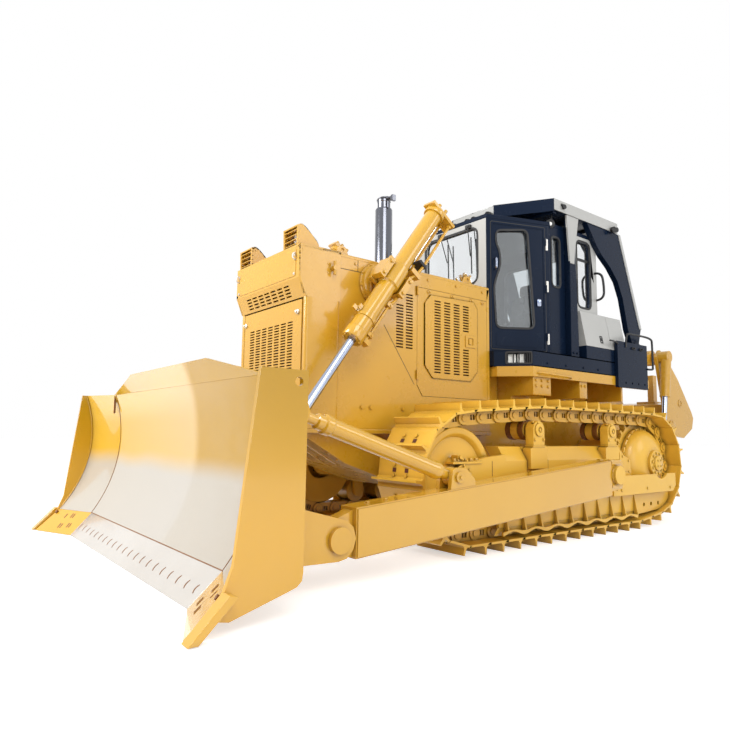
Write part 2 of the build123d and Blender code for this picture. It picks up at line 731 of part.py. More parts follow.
with BuildPart() as blade:
    sweep_blade(moldboard_section.sketch)
    sweep_blade(lower_beam.sketch)
    sweep_blade(upper_beam.sketch)
    trim_ends(plate_inner)
    for side in (-1, 1):
        for edge in (-1, 1):
            near = side * (lift_y + edge * (eye_width / 2 + ear_gap))
            far = near + side * edge * ear_thickness
            side_view([(beam_x + 60, 420), (beam_x + 60, 1180), (beam_x - 60, 1180), (lift_eye_x - 70, 820),
                       (lift_eye_x - 70, 640), (lift_eye_x + 40, 600), (beam_x, 420)], near, far)
            disc(lift_eye_x, lift_eye_z, 60, far, far + side * edge * 22)
            near = side * (arm_middle + edge * arm_tongue)
            far = side * (arm_middle + edge * (arm_tongue + 60))
            side_view([(beam_x + 80, 230), (beam_x + 80, 590), (arm_pin_x, arm_pin_z + 135),
                       (arm_pin_x, arm_pin_z - 135), (beam_x, 195)], near, far)
            disc(arm_pin_x, arm_pin_z, 135, near, far)
            near = side * (arm_middle + edge * brace_half)
            far = side * (arm_middle + edge * (brace_half + brace_ear))
            x, z = brace_front
            side_view([(beam_x + 80, z - 70), (beam_x + 80, z + 110), (x, z + 75), (x - 70, z),
                       (x, z - 75)], near, far)
    with BuildSketch(Plane.YZ.offset(lean_top_x - moldboard_thickness + 5)) as spill_guard:
        Polygon((-1280, blade_top), (1280, blade_top), (1050, spill_top), (-1050, spill_top), align=None)
    extrude(spill_guard.sketch, amount=28)
save(blade.part, "blade")

# End plates, and the cutting edge with the corner bits outside them.
tip_shift = (blade_half_width - blade_bend) * sin(radians(wing_angle)) / cos(radians(wing_angle))
with BuildPart() as end_plate:
    side_view([(3657, blade_top), (3958, blade_top), (4075, 330), (4172, 75), (4090, 60), (3661, 186)],
              plate_inner, blade_half_width)
    disc(3730, blade_top - 75, 30, plate_inner, blade_half_width, Mode.SUBTRACT)
save_both(end_plate, "end_plates")
with BuildPart() as cutting_edge:
    sweep_blade(edge_section.sketch)
    trim_ends(plate_inner)
    foot = edge_back_x + tip_shift
    for side in (-1, 1):
        side_view([(foot - moldboard_thickness, edge_top), (foot + 12, edge_top + 15),
                   (foot + edge_run + 25, edge_low), (foot + edge_run - 30, edge_low)],
                  side * blade_half_width, side * (blade_half_width + bit_width))
save(cutting_edge.part, "cutting_edge")

# Braces from the push arms up to the blade: a turnbuckle on the left, a tilt cylinder on the right.


def along_brace(y, share):
    """A point on a brace's axis, as a share of the way from its rear eye to its front one."""
    x = brace_rear[0] + (brace_front[0] - brace_rear[0]) * share
    z = brace_rear[1] + (brace_front[1] - brace_rear[1]) * share
    return (x, y, z)


def brace_eyes(y):
    """The round eye at each end of a brace."""
    for x, z in (brace_rear, brace_front):
        disc(x, z, 68, y - brace_half, y + brace_half)


with BuildPart() as tilt_brace:
    rod_between(along_brace(arm_middle, 0.03), along_brace(arm_middle, 0.97), 42)
    rod_between(along_brace(arm_middle, 0.10), along_brace(arm_middle, 0.86), 62)
    brace_eyes(arm_middle)
save(tilt_brace.part, "brace_left")
with BuildPart() as tilt_cylinder:
    rod_between(along_brace(-arm_middle, 0.03), along_brace(-arm_middle, 0.97), 42)
    rod_between(along_brace(-arm_middle, 0.07), along_brace(-arm_middle, 0.62), 85)
    brace_eyes(-arm_middle)
save(tilt_cylinder.part, "tilt_cylinder_right")

# Cab base, a deck wider than the cab with a slanted front.
base_front_half = 640
base_plan = [(cab_front, -base_front_half), (cab_front, base_front_half), (base_corner_x, base_half_width),
             (base_rear, base_half_width), (base_rear, -base_half_width), (base_corner_x, -base_half_width)]
with BuildPart() as cab_base:
    plan_view(base_plan, rear_hull_top, cab_floor)
save(cab_base.part, "cab_base")

# Cab walls, each a panel of its own with its window cut.
wall_top = cab_top - cab_roof_thickness
windshield = (-420, 420, 2690, 3330)
rear_window = (-560, 560, 2560, 3280)
side_windows = ((-1080, -800, 2530, 3340), (-470, -305, 2700, 3290))
with BuildPart() as front_wall:
    block(cab_front - wall, cab_front, -cab_front_half, cab_front_half, cab_floor, wall_top)
    block(cab_front - wall, cab_front, *windshield, Mode.SUBTRACT)
save(front_wall.part, "cab_front")
with BuildPart() as rear_wall:
    block(cab_rear, cab_rear + wall, -cab_half_width, cab_half_width, cab_floor, wall_top)
    block(cab_rear, cab_rear + wall, *rear_window, Mode.SUBTRACT)
save(rear_wall.part, "cab_rear")
with BuildPart() as side_wall:
    block(cab_rear + wall, cab_corner_x, cab_half_width - wall, cab_half_width, cab_floor, wall_top)
    for x_from, x_to, z_from, z_to in side_windows:
        block(x_from, x_to, cab_half_width - wall, cab_half_width, z_from, z_to, Mode.SUBTRACT)
save_both(side_wall, "cab_sides")

# Slanted faces with the doorways, drawn looking at the left one from outside.
slant = Vector(cab_corner_x - cab_front, cab_half_width - cab_front_half)
slant_length = slant.length
slant_way = slant.normalized()
slant_out = Vector(slant_way.Y, -slant_way.X)
slant_face = Plane(origin=(cab_front, cab_front_half, 0), x_dir=slant_way, z_dir=slant_out)
pillar = 55
doorway_low = 1935
doorway_high = 3370
cab_door_gap = 6


def slant_panel(along_from, along_to, z_from, z_to, depth, mode=Mode.ADD, inset=0):
    """A piece of the slanted face, from its outer skin inwards."""
    with BuildSketch(slant_face.offset(-inset)) as outline:
        Polygon((along_from, z_from), (along_to, z_from), (along_to, z_to), (along_from, z_to), align=None)
    extrude(outline.sketch, amount=-depth, mode=mode)


door_low_edge = doorway_low + cab_door_gap
door_high_edge = doorway_high - cab_door_gap
door_start = pillar + cab_door_gap
door_end = slant_length - pillar - cab_door_gap
window_margin = 120
door_window = (door_start + window_margin, door_end - window_margin - 60, 2330, door_high_edge - 110)
hinge_along = slant_length - pillar - cab_door_gap / 2
hinge_spot = Vector(cab_front,
                    cab_front_half) + slant_way * hinge_along + slant_out * (knuckle_radius + seat_gap)
cab_hinge = (hinge_spot.X, hinge_spot.Y)
cab_hinge_levels = (door_low_edge + 160, (door_low_edge + door_high_edge) / 2, door_high_edge - 160)
with BuildPart() as doorway:
    slant_panel(0, slant_length, cab_floor, wall_top, wall)
    slant_panel(pillar, slant_length - pillar, doorway_low, doorway_high, wall, Mode.SUBTRACT)
    block(cab_front, cab_front + 200, 0, cab_half_width, cab_floor, wall_top, Mode.SUBTRACT)
    add(front_wall.part, mode=Mode.SUBTRACT)
    add(side_wall.part, mode=Mode.SUBTRACT)
    hinge(cab_hinge, -slant_way, slant_out, cab_hinge_levels, on_door=False)
save_both(doorway, "doorways")
with BuildPart() as cab_door:
    slant_panel(door_start, door_end, door_low_edge, door_high_edge, wall)
    slant_panel(*door_window, wall, Mode.SUBTRACT)
    hinge(cab_hinge, -slant_way, slant_out, cab_hinge_levels, on_door=True)
save_pair(cab_door, "cab_door")
with BuildPart() as door_glass:
    slant_panel(*door_window, glass, inset=wall / 2)
save_pair(door_glass, "door_glass")

# Fixed glass.
with BuildPart() as cab_glass:
    block(cab_front - wall / 2, cab_front - wall / 2 + glass, *windshield)
    block(cab_rear + wall / 2, cab_rear + wall / 2 + glass, *rear_window)
    for side in (-1, 1):
        middle = side * (cab_half_width - wall / 2)
        for x_from, x_to, z_from, z_to in side_windows:
            block(x_from, x_to, middle, middle + side * glass, z_from, z_to)
save(cab_glass.part, "cab_glass")

# Cab roof panel.
with BuildPart() as cab_roof:
    plan_view([(cab_front, -cab_front_half), (cab_front, cab_front_half), (cab_corner_x, cab_half_width),
               (cab_rear, cab_half_width), (cab_rear, -cab_half_width), (cab_corner_x, -cab_half_width)],
              wall_top, cab_top)
save(cab_roof.part, "cab_roof")

# Seat, consoles and levers inside.
with BuildPart() as seat:
    block(-900, -350, -270, 270, cab_floor, cab_floor + 260)
    block(-880, -340, -260, 260, cab_floor + 260, cab_floor + 400)
    side_view([(-900, cab_floor + 300), (-780, cab_floor + 400), (-900, cab_floor + 1080),
               (-1020, cab_floor + 1080)],
              -250, 250)
save(seat.part, "seat")
with BuildPart() as consoles:
    for side in (-1, 1):
        block(-900, -250, side * 330, side * 480, cab_floor, cab_floor + 520)
        rod_between((-320, side * 400, cab_floor + 520), (-300, side * 400, cab_floor + 690), 18)
    block(180, 380, -330, 330, cab_floor, cab_floor + 640)
save(consoles.part, "consoles")

# Roll-over canopy on its posts.
with BuildPart() as canopy:
    plan_view([(canopy_front, -canopy_front_half), (canopy_front, canopy_front_half),
               (canopy_corner_x, canopy_half_width), (canopy_rear, canopy_half_width),
               (canopy_rear, -canopy_half_width), (canopy_corner_x, -canopy_half_width)], canopy_low,
               canopy_high)
save(canopy.part, "canopy")
post_outer = post_y + post_thickness / 2
post_inner = post_y - post_thickness / 2
leg_bend = (-1793, 2358)
leg_foot = 2161
with BuildPart() as posts:
    side_view([(-700, cab_floor), (-545, cab_floor), (-560, 3250), (-505, canopy_low), (-745, canopy_low),
               (-670, 3250)], post_inner, post_outer)
    with BuildSketch(Plane.XZ.offset(-post_inner)) as leg_side:
        with BuildLine():
            gusset = Spline((-930, canopy_low), (-1244, 3220), (-1584, 2951), leg_bend)
            Polyline(gusset @ 1, (-1900, leg_foot), (-1900, rear_hull_top), (-2040, rear_hull_top),
                     (-2040, leg_foot), (-2110, 2396), (-1660, canopy_low), gusset @ 0)
        make_face()
    extrude(leg_side.sketch, amount=-post_thickness)
save_both(posts, "canopy_posts")

# Fenders over the tracks, flush with the cab's base, with a skirt round the edge and brackets beneath.
fender_top = rear_hull_top
fender_sheet = 30
skirt_depth = 109
skirt_sheet = 25
fender_edge = base_half_width + 5
fender_front = bay_rear - 22
fender_rear = -2160
fender_brackets = ((-1560, -1520), (-790, -640), (-100, 210))
bracket_depth = 300
root_radius = 190           # where a bracket's underside curves down to the hull
with BuildPart() as fender:
    plan_view([(fender_front, hull_half_width), (fender_front, base_front_half + 24),
               (base_corner_x, fender_edge),
               (fender_rear, fender_edge), (fender_rear, hull_half_width)], fender_top - skirt_depth,
               fender_top)
    plan_view([(fender_front - skirt_sheet, hull_half_width),
               (fender_front - skirt_sheet, base_front_half + 14),
               (base_corner_x - 14, fender_edge - skirt_sheet), (fender_rear, fender_edge - skirt_sheet),
               (fender_rear, hull_half_width)], fender_top - skirt_depth, fender_top - fender_sheet,
               Mode.SUBTRACT)
    for x_from, x_to in fender_brackets:
        with BuildSketch(Plane.YZ.offset(x_from)) as bracket_end:
            with BuildLine():
                underside = Line((fender_edge - skirt_sheet, fender_top - bracket_depth),
                                 (hull_half_width + root_radius, fender_top - bracket_depth))
                RadiusArc(underside @ 1, (hull_half_width, fender_top - bracket_depth - root_radius),
                          root_radius)
                Polyline((hull_half_width, fender_top - bracket_depth - root_radius),
                         (hull_half_width, fender_top - fender_sheet),
                         (fender_edge - skirt_sheet, fender_top - fender_sheet), underside @ 0)
            make_face()
        extrude(bracket_end.sketch, amount=x_to - x_from)
save_both(fender, "fenders")

# Side boxes on the base's edge, a slanted lid over each, a fixed cover behind it, and the tank behind the
# cab.
box_inner = cab_half_width + 5
box_outer = base_half_width
box_front = -774
lid_rear = -1310
box_top = 2051
lid_high = 2470
cover_slope = 78            # how much narrower a cover is at its top
with BuildPart() as side_box:
    block(base_rear, box_front, box_inner, box_outer, cab_floor, box_top)
save_both(side_box, "side_boxes")
cover_sheet = 20
cover_foot = box_top + seat_gap
cover_section = [(box_inner + 2, cover_foot), (box_outer, cover_foot), (box_outer - cover_slope, lid_high),
                 (box_inner + 2, lid_high)]
cover_room = [(box_inner + 2 + cover_sheet, cover_foot), (box_outer - cover_sheet, cover_foot),
              (box_outer - cover_slope - cover_sheet + 4, lid_high - cover_sheet),
              (box_inner + 2 + cover_sheet, lid_high - cover_sheet)]


def slanted_cover(x_from, x_to):
    """A sheet cover with closed ends and an open underside."""
    with BuildSketch(Plane.YZ.offset(x_from)) as outside:
        Polygon(*cover_section, align=None)
    extrude(outside.sketch, amount=x_to - x_from)
    with BuildSketch(Plane.YZ.offset(x_from + cover_sheet)) as inside:
        Polygon(*cover_room, align=None)
    extrude(inside.sketch, amount=x_to - x_from - 2 * cover_sheet, mode=Mode.SUBTRACT)


with BuildPart() as side_lid:
    slanted_cover(lid_rear, box_front)
save_pair(side_lid, "side_lid")
with BuildPart() as rear_cover:
    slanted_cover(base_rear, lid_rear - 6)
save_both(rear_cover, "rear_covers")
tank_front = -1484
tank_half_width = post_inner - 30
with BuildPart() as fuel_tank:
    side_view([(-2080, fender_top), (base_rear - 1, fender_top), (base_rear - 1, cab_floor),
               (tank_front, cab_floor),
               (tank_front, 2150), (-2080, 2150)], -tank_half_width, tank_half_width)
save(fuel_tank.part, "fuel_tank")

# Rear step plates at the fender's end.
step_thickness = 40
step_hole = 14
with BuildPart() as step_plate:
    block(-2060, -1360, fender_edge, fender_edge + step_thickness, 1600, 2165)
    for x in (-1980, -1830, -1680, -1530):
        disc(x, 1660, step_hole, fender_edge, fender_edge + step_thickness, Mode.SUBTRACT)
save_both(step_plate, "step_plates")

# Ripper bracket on the hull's rear, with pins that the arms and links swing on.
ripper_pin_radius = 60
bracket_near = 250
bracket_far = 320
arm_far = 430
link_lift = ripper_apex_z - ripper_pin_z
link_back_x = ripper_apex_x - ripper_pin_x
upper_pivot_x = ripper_pivot_x + link_back_x
upper_pivot_z = ripper_pivot_z + link_lift
with BuildPart() as ripper_bracket:
    for side in (-1, 1):
        side_view([(hull_rear, 640), (ripper_pivot_x, ripper_pivot_z - 130),
                   (ripper_pivot_x - 130, ripper_pivot_z),
                   (upper_pivot_x - 120, upper_pivot_z), (upper_pivot_x, upper_pivot_z + 120),
                   (hull_rear, upper_pivot_z - 120)], side * bracket_near, side * bracket_far)
        for x, z in ((ripper_pivot_x, ripper_pivot_z), (upper_pivot_x, upper_pivot_z)):
            disc(x, z, ripper_pin_radius, side * bracket_far, side * (arm_far + 20))
    block(hull_rear - 60, hull_rear, -hull_half_width, hull_half_width, 640, rear_hull_top)
save(ripper_bracket.part, "ripper_bracket")


def swing_bar(start, end, half_depth, y_from, y_to):
    """A bar with a bored round head at each end."""
    run = Vector(end[0] - start[0], end[1] - start[1]).normalized()
    side_way = Vector(-run.Y, run.X) * half_depth
    first = Vector(*start)
    last = Vector(*end)
    corners = [first - side_way, last - side_way, last + side_way, first + side_way]
    side_view([(p.X, p.Y) for p in corners], y_from, y_to)
    for x, z in (start, end):
        disc(x, z, 115, y_from, y_to)
    for x, z in (start, end):
        disc(x, z, ripper_pin_radius + pin_gap, y_from, y_to, Mode.SUBTRACT)


arm_near = bracket_far + 6
ripper_pivot = (ripper_pivot_x, ripper_pivot_z)
ripper_pin = (ripper_pin_x, ripper_pin_z)
upper_pivot = (upper_pivot_x, upper_pivot_z)
ripper_apex = (ripper_apex_x, ripper_apex_z)
foot_share = 0.62
foot_x = ripper_pivot_x + (ripper_pin_x - ripper_pivot_x) * foot_share
foot_z = ripper_pivot_z + (ripper_pin_z - ripper_pivot_z) * foot_share + 90
ripper_cylinder_y = 625
with BuildPart() as ripper_arm:
    for side in (-1, 1):
        swing_bar(ripper_pivot, ripper_pin, 95, side * arm_near, side * arm_far)
        disc(foot_x, foot_z, 70, side * arm_far, side * (ripper_cylinder_y - 51))
    rod_between((foot_x, -arm_near, foot_z - 90), (foot_x, arm_near, foot_z - 90), 80)
save(ripper_arm.part, "ripper_arm")
with BuildPart() as ripper_links:
    for side in (-1, 1):
        swing_bar(upper_pivot, ripper_apex, 70, side * arm_near, side * arm_far)
save(ripper_links.part, "ripper_links")

# Ripper carrier: two tall side plates, the beam between them and the shank in its pocket.
with BuildPart() as ripper_carrier:
    for side in (-1, 1):
        near = side * (ripper_plate_y - ripper_plate)
        far = side * ripper_plate_y
        side_view([(ripper_apex_x + 100, ripper_apex_z), (ripper_apex_x, ripper_apex_z + 110),
                   (ripper_apex_x - 130, ripper_apex_z + 60), (-3851, 1871), (-4250, 1390), (-4300, 1300),
                   (-4247, 1138), (-3966, 995),
                   (ripper_pin_x + 60, ripper_pin_z - 110), (ripper_pin_x + 110, ripper_pin_z)], near, far)
        for x, z in (ripper_pin, ripper_apex):
            disc(x, z, ripper_pin_radius, side * arm_near, near)
    side_view([(-3740, 1020), (-3740, 1500), (-3960, 1540), (-4010, 1250), (-3950, 1030)],
              ripper_plate - ripper_plate_y, ripper_plate_y - ripper_plate)
    block(pocket_rear, -3900, -150, 150, 1000, 1560)
    block(shank_rear - pin_gap, shank_front + pin_gap, -shank_half - pin_gap, shank_half + pin_gap, 1000,
          1560,
          Mode.SUBTRACT)
save(ripper_carrier.part, "ripper_carrier")
with BuildPart() as shank:
    side_view([(shank_rear, 1990), (shank_front, 1990), (shank_front, 620), (shank_front + 74, 470),
               (shank_front + 204, 330), (shank_front + 134, 300), (shank_front - 56, 420),
               (shank_rear, 600)],
              -shank_half, shank_half)
save(shank.part, "ripper_shank")

# Ripper cylinders, from the carrier's apex down to the arms.
ripper_run = Vector(foot_x - ripper_apex_x, 0, foot_z - ripper_apex_z)
ripper_way = ripper_run.normalized()


def along_ripper(distance):
    """A point on the ripper cylinder's axis, measured down from the carrier's apex."""
    point = Vector(ripper_apex_x, ripper_cylinder_y, ripper_apex_z) + ripper_way * distance
    return (point.X, point.Y, point.Z)


with BuildPart() as ripper_barrel:
    rod_between(along_ripper(40), along_ripper(590), 70)
    disc(ripper_apex_x, ripper_apex_z, 85, ripper_plate_y + seat_gap, ripper_cylinder_y + 50)
    rod_between(along_ripper(100), along_ripper(590), ripper_rod_radius + pin_gap, Mode.SUBTRACT)
save_both(ripper_barrel, "ripper_barrels")
with BuildPart() as ripper_rod:
    rod_between(along_ripper(450), along_ripper(ripper_run.length), ripper_rod_radius)
    disc(foot_x, foot_z, 85, ripper_cylinder_y - 45, ripper_cylinder_y + 45)
save_both(ripper_rod, "ripper_rods")
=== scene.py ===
# %% [markdown]
# A track-type bulldozer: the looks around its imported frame. The frame is the CAD model, already in place
# and in metres, so each new piece is drawn where the real one bolts on. X points forward, Y to the
# machine's left side and Z up, with the ground at z = 0.

# %% Load the frame
import json
from math import acos, atan2, cos, pi, radians, sin, tan

import bmesh
import bpy
from mathutils import Matrix, Vector
from mathutils.geometry import tessellate_polygon


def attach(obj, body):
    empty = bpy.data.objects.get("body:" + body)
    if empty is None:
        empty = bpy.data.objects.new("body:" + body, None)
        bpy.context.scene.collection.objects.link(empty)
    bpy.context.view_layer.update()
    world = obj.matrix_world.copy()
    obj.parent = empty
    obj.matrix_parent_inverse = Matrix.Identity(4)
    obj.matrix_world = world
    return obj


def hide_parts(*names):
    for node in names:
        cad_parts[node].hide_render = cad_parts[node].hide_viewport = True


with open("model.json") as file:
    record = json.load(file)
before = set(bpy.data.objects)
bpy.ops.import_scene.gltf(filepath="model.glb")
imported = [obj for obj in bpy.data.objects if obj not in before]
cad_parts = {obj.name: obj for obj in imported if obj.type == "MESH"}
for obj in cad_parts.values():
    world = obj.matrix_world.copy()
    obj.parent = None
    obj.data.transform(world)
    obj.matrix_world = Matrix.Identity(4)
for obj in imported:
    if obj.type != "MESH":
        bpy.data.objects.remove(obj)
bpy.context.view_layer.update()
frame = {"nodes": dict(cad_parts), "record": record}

# %% [markdown]
# The camera stands low in front of the left corner of the blade, about four metres from it, and looks a
# little upwards. A wide lens this near makes the blade large against the cab, as in the photograph.

# %% Camera
camera_place = Vector((5.473, 4.862, 1.01))
camera_yaw, camera_pitch, camera_roll = radians(37.58), radians(6.4), radians(0.82)

ahead = Vector((-sin(camera_yaw) * cos(camera_pitch), -cos(camera_yaw) * cos(camera_pitch),
        sin(camera_pitch)))
level_right = ahead.cross(Vector((0, 0, 1))).normalized()
level_up = level_right.cross(ahead)
right = level_right * cos(camera_roll) + level_up * sin(camera_roll)
up = level_up * cos(camera_roll) - level_right * sin(camera_roll)
lens = bpy.data.cameras.new("photo_lens")
lens.sensor_width, lens.lens, lens.clip_end = 36, 29.73, 200
camera = bpy.data.objects.new("photo_camera", lens)
camera.matrix_world = Matrix(((right.x, up.x, -ahead.x, camera_place.x),
        (right.y, up.y, -ahead.y, camera_place.y), (right.z, up.z, -ahead.z, camera_place.z), (0, 0, 0, 1)))
bpy.context.scene.collection.objects.link(camera)
bpy.context.scene.camera = camera
bpy.context.scene.view_settings.view_transform = "Standard"
print("camera", [round(v, 2) for v in camera_place], "lens", lens.lens)

# %% [markdown]
# Colours are written as linear values. The machine is freshly painted: a golden gloss paint all
# over, navy paint on the cab, whose front wall takes light grey as a painted reflection of the bright sky,
# light grey on the covers behind it, chrome on the rods and pale steel on the cutting edge, whose paleness
# is partly a painted reflection of the bright floor.

# %% Colours
golden = (0.635, 0.34, 0.018)
golden_deep = (0.52, 0.275, 0.03)
navy = (0.005, 0.012, 0.03)
cover_grey = (0.44, 0.44, 0.42)
print("golden", golden, "navy", navy)

# %% [markdown]
# Three effects are shared by many materials, so each is a node group with named inputs and outputs.
# "Paint film" gives a painted plate its faint drift of tone and the ripple of sprayed paint.
# "Settled dust" finds the low and upward parts of the undercarriage where pale soil clings.
# "Crease shade" is painted shade: it darkens the creases where plates meet, as far as ambient occlusion finds
# them closed in.

# %% Helpers for node trees
def group_tree(name, inputs, outputs):
    """A node group with its sockets, and the nodes at both ends."""
    tree = bpy.data.node_groups.new(name, "ShaderNodeTree")
    for label, kind, value in inputs:
        socket = tree.interface.new_socket(name=label, in_out="INPUT", socket_type=kind)
        socket.default_value = value
    for label, kind in outputs:
        tree.interface.new_socket(name=label, in_out="OUTPUT", socket_type=kind)
    return tree, tree.nodes.new("NodeGroupInput"), tree.nodes.new("NodeGroupOutput")


def add_node(tree, kind, **settings):
    """One node with its settings; a setting that names an input sets that input's value."""
    node = tree.nodes.new(kind)
    for key, value in settings.items():
        label = key.replace("_", " ")
        if label in node.inputs:
            node.inputs[label].default_value = value
        else:
            setattr(node, key, value)
    return node


def feed(tree, value, target):
    """Links a socket to an input, or sets the input to a plain number or colour."""
    if isinstance(value, bpy.types.NodeSocket):
        tree.links.new(value, target)
    else:
        target.default_value = (*value, 1) if isinstance(value, tuple) else value


def ramp(tree, source, low, high, style="LINEAR"):
    """Maps a value so that low becomes 0 and high becomes 1."""
    node = add_node(tree, "ShaderNodeMapRange", interpolation_type=style, From_Min=low, From_Max=high)
    tree.links.new(source, node.inputs["Value"])
    return node.outputs["Result"]


def blend_colour(tree, share, first, second):
    """Mixes two colours; each is a socket or a plain colour."""
    node = add_node(tree, "ShaderNodeMix", data_type="RGBA", blend_type="MIX")
    for slot_number, value in ((0, share), (6, first), (7, second)):
        feed(tree, value, node.inputs[slot_number])
    return node.outputs[2]


def noise(tree, place, scale, detail, rough=0.5):
    """Cloudy noise at a scale in repeats per metre."""
    node = add_node(tree, "ShaderNodeTexNoise", Scale=scale, Detail=detail, Roughness=rough)
    tree.links.new(place, node.inputs["Vector"])
    return node.outputs["Fac"]


def maths(tree, how, first, second):
    """One arithmetic step on sockets or numbers."""
    node = add_node(tree, "ShaderNodeMath", operation=how)
    for k, value in enumerate((first, second)):
        feed(tree, value, node.inputs[k])
    return node.outputs[0]


def multiply(tree, first, second):
    return maths(tree, "MULTIPLY", first, second)


def split_up(tree, vector):
    """The X, Y and Z sockets of a vector."""
    node = add_node(tree, "ShaderNodeSeparateXYZ")
    tree.links.new(vector, node.inputs["Vector"])
    return node.outputs


def new_material(name):
    """A material with its node tree and its shader."""
    material = bpy.data.materials.new(name)
    material.use_nodes = True
    return material, material.node_tree, material.node_tree.nodes["Principled BSDF"]


def set_inputs(node, **values):
    """Sets inputs by their names, written with underscores for spaces."""
    for key, value in values.items():
        node.inputs[key.replace("_", " ")].default_value = value
    return node


print("node helpers ready")

# %% Paint film, settled dust and painted crease shade
hue, number = "NodeSocketColor", "NodeSocketFloat"
paint_film, taken, given = group_tree("paint_film", [("Colour", hue, (0.5, 0.5, 0.5, 1)),
        ("Deep colour", hue, (0.4, 0.4, 0.4, 1)), ("Drift", number, 0.3), ("Gloss", number, 0.2)],
        [("Colour", hue), ("Roughness", number), ("Height", number)])
place = add_node(paint_film, "ShaderNodeTexCoord").outputs["Object"]
broad = ramp(paint_film, noise(paint_film, place, 1.3, 4.0), 0.35, 0.75)
speckle = ramp(paint_film, noise(paint_film, place, 90.0, 2.0), 0.4, 0.7)
tone = blend_colour(paint_film, multiply(paint_film, broad, taken.outputs["Drift"]), taken.outputs["Colour"],
        taken.outputs["Deep colour"])
tone = blend_colour(paint_film, multiply(paint_film, speckle, 0.06), tone, taken.outputs["Deep colour"])
rub = ramp(paint_film, noise(paint_film, place, 6.0, 5.0, 0.6), 0.3, 0.8)
gloss = maths(paint_film, "ADD", taken.outputs["Gloss"], multiply(paint_film, rub, 0.12))
peel = maths(paint_film, "ADD", multiply(paint_film, noise(paint_film, place, 160.0, 1.0), 0.25),
        noise(paint_film, place, 2.2, 1.0))
for value, label in ((tone, "Colour"), (gloss, "Roughness"), (peel, "Height")):
    paint_film.links.new(value, given.inputs[label])

settled_dust, taken, given = group_tree("settled_dust", [("Top height", number, 1.3),
        ("Amount", number, 0.5)], [("Mask", number)])
coords = add_node(settled_dust, "ShaderNodeTexCoord")
place = coords.outputs["Object"]
height = maths(settled_dust, "DIVIDE", split_up(settled_dust, place)["Z"], taken.outputs["Top height"])
low_down = ramp(settled_dust, height, 1.0, 0.1)
upward = ramp(settled_dust, split_up(settled_dust, coords.outputs["Normal"])["Z"], -0.2, 1.0)
patch = ramp(settled_dust, noise(settled_dust, place, 14.0, 6.0, 0.65), 0.35, 0.7)
mask = multiply(settled_dust, multiply(settled_dust, low_down, patch),
        maths(settled_dust, "ADD", multiply(settled_dust, upward, 0.6), 0.4))
settled_dust.links.new(multiply(settled_dust, mask, taken.outputs["Amount"]), given.inputs["Mask"])

# Painted shade: ambient occlusion darkens the paint where plates close in on each other.
crease_shade, taken, given = group_tree("crease_shade", [("Reach", number, 0.05), ("Amount", number, 0.5)],
        [("Mask", number)])
crease = add_node(crease_shade, "ShaderNodeAmbientOcclusion", samples=6)
crease_shade.links.new(taken.outputs["Reach"], crease.inputs["Distance"])
shut = ramp(crease_shade, crease.outputs["AO"], 0.95, 0.35)
crease_shade.links.new(multiply(crease_shade, shut, taken.outputs["Amount"]), given.inputs["Mask"])
print("groups:", [g.name for g in bpy.data.node_groups])

# %% [markdown]
# A finish is one Principled shader with the groups placed in front of it. What is the same all over a
# surface, such as its coat or its metal, is set on the shader itself.

# %% Materials
def place_group(tree, group, **values):
    """Places a shared effect in a material, with its own values."""
    node = tree.nodes.new("ShaderNodeGroup")
    node.node_tree = group
    return set_inputs(node, **values).outputs


def finish(name, colour, deep, gloss, drift=0.35, metal=0.0, coat=0.0, coat_roughness=0.06, dust=0.0,
        crease_shade_amount=0.0, crease_shade_reach=0.04, ripple=0.02, shine=0.5):
    """A painted or metal finish made of the shared effects."""
    material, tree, shader = new_material(name)
    set_inputs(shader, Metallic=metal, Coat_Weight=coat, Coat_Roughness=coat_roughness,
            Specular_IOR_Level=shine)
    film = place_group(tree, paint_film, Colour=(*colour, 1), Deep_colour=(*deep, 1), Drift=drift,
            Gloss=gloss)
    tone, rough = film["Colour"], film["Roughness"]
    # Painted shade: the crease mask darkens the colour towards a quarter of the deep colour.
    if crease_shade_amount:
        mask = place_group(tree, crease_shade, Reach=crease_shade_reach, Amount=crease_shade_amount)["Mask"]
        tone = blend_colour(tree, mask, tone, tuple(0.25 * v for v in deep))
    if dust:
        mask = place_group(tree, settled_dust, Top_height=dust_top, Amount=dust)["Mask"]
        tone = blend_colour(tree, mask, tone, dust_colour)
        rough = maths(tree, "ADD", rough, multiply(tree, mask, 0.5))
    bump = add_node(tree, "ShaderNodeBump", Strength=0.25, Distance=ripple)
    for value, target in ((tone, shader.inputs["Base Color"]), (rough, shader.inputs["Roughness"]),
            (film["Height"], bump.inputs["Height"]), (bump.outputs["Normal"], shader.inputs["Normal"])):
        tree.links.new(value, target)
    return material


dust_top, dust_colour = 1.3, (0.5, 0.42, 0.28)
golden_paint = finish("golden_paint", golden, golden_deep, 0.24, coat=0.45, crease_shade_amount=0.4, crease_shade_reach=0.035,
        ripple=0.004)
track_paint = finish("track_paint", (0.79, 0.465, 0.045), (0.62, 0.33, 0.025), 0.34, drift=0.45, coat=0.25,
        dust=0.08, crease_shade_amount=0.8, crease_shade_reach=0.06, ripple=0.003)
navy_paint = finish("navy_paint", navy, (0.003, 0.007, 0.018), 0.2, coat=0.06, coat_roughness=0.04, shine=0.1,
        ripple=0.003)
grey_paint = finish("grey_paint", cover_grey, (0.34, 0.34, 0.33), 0.28, coat=0.4, crease_shade_amount=0.3, ripple=0.003)
pale_steel = finish("pale_steel", (0.74, 0.72, 0.68), (0.6, 0.57, 0.52), 0.26, drift=0.5, metal=0.55,
        coat=0.3, ripple=0.003)
chrome = finish("chrome", (0.44, 0.49, 0.62), (0.36, 0.41, 0.54), 0.1, drift=0.2, metal=1.0, ripple=0.0005)
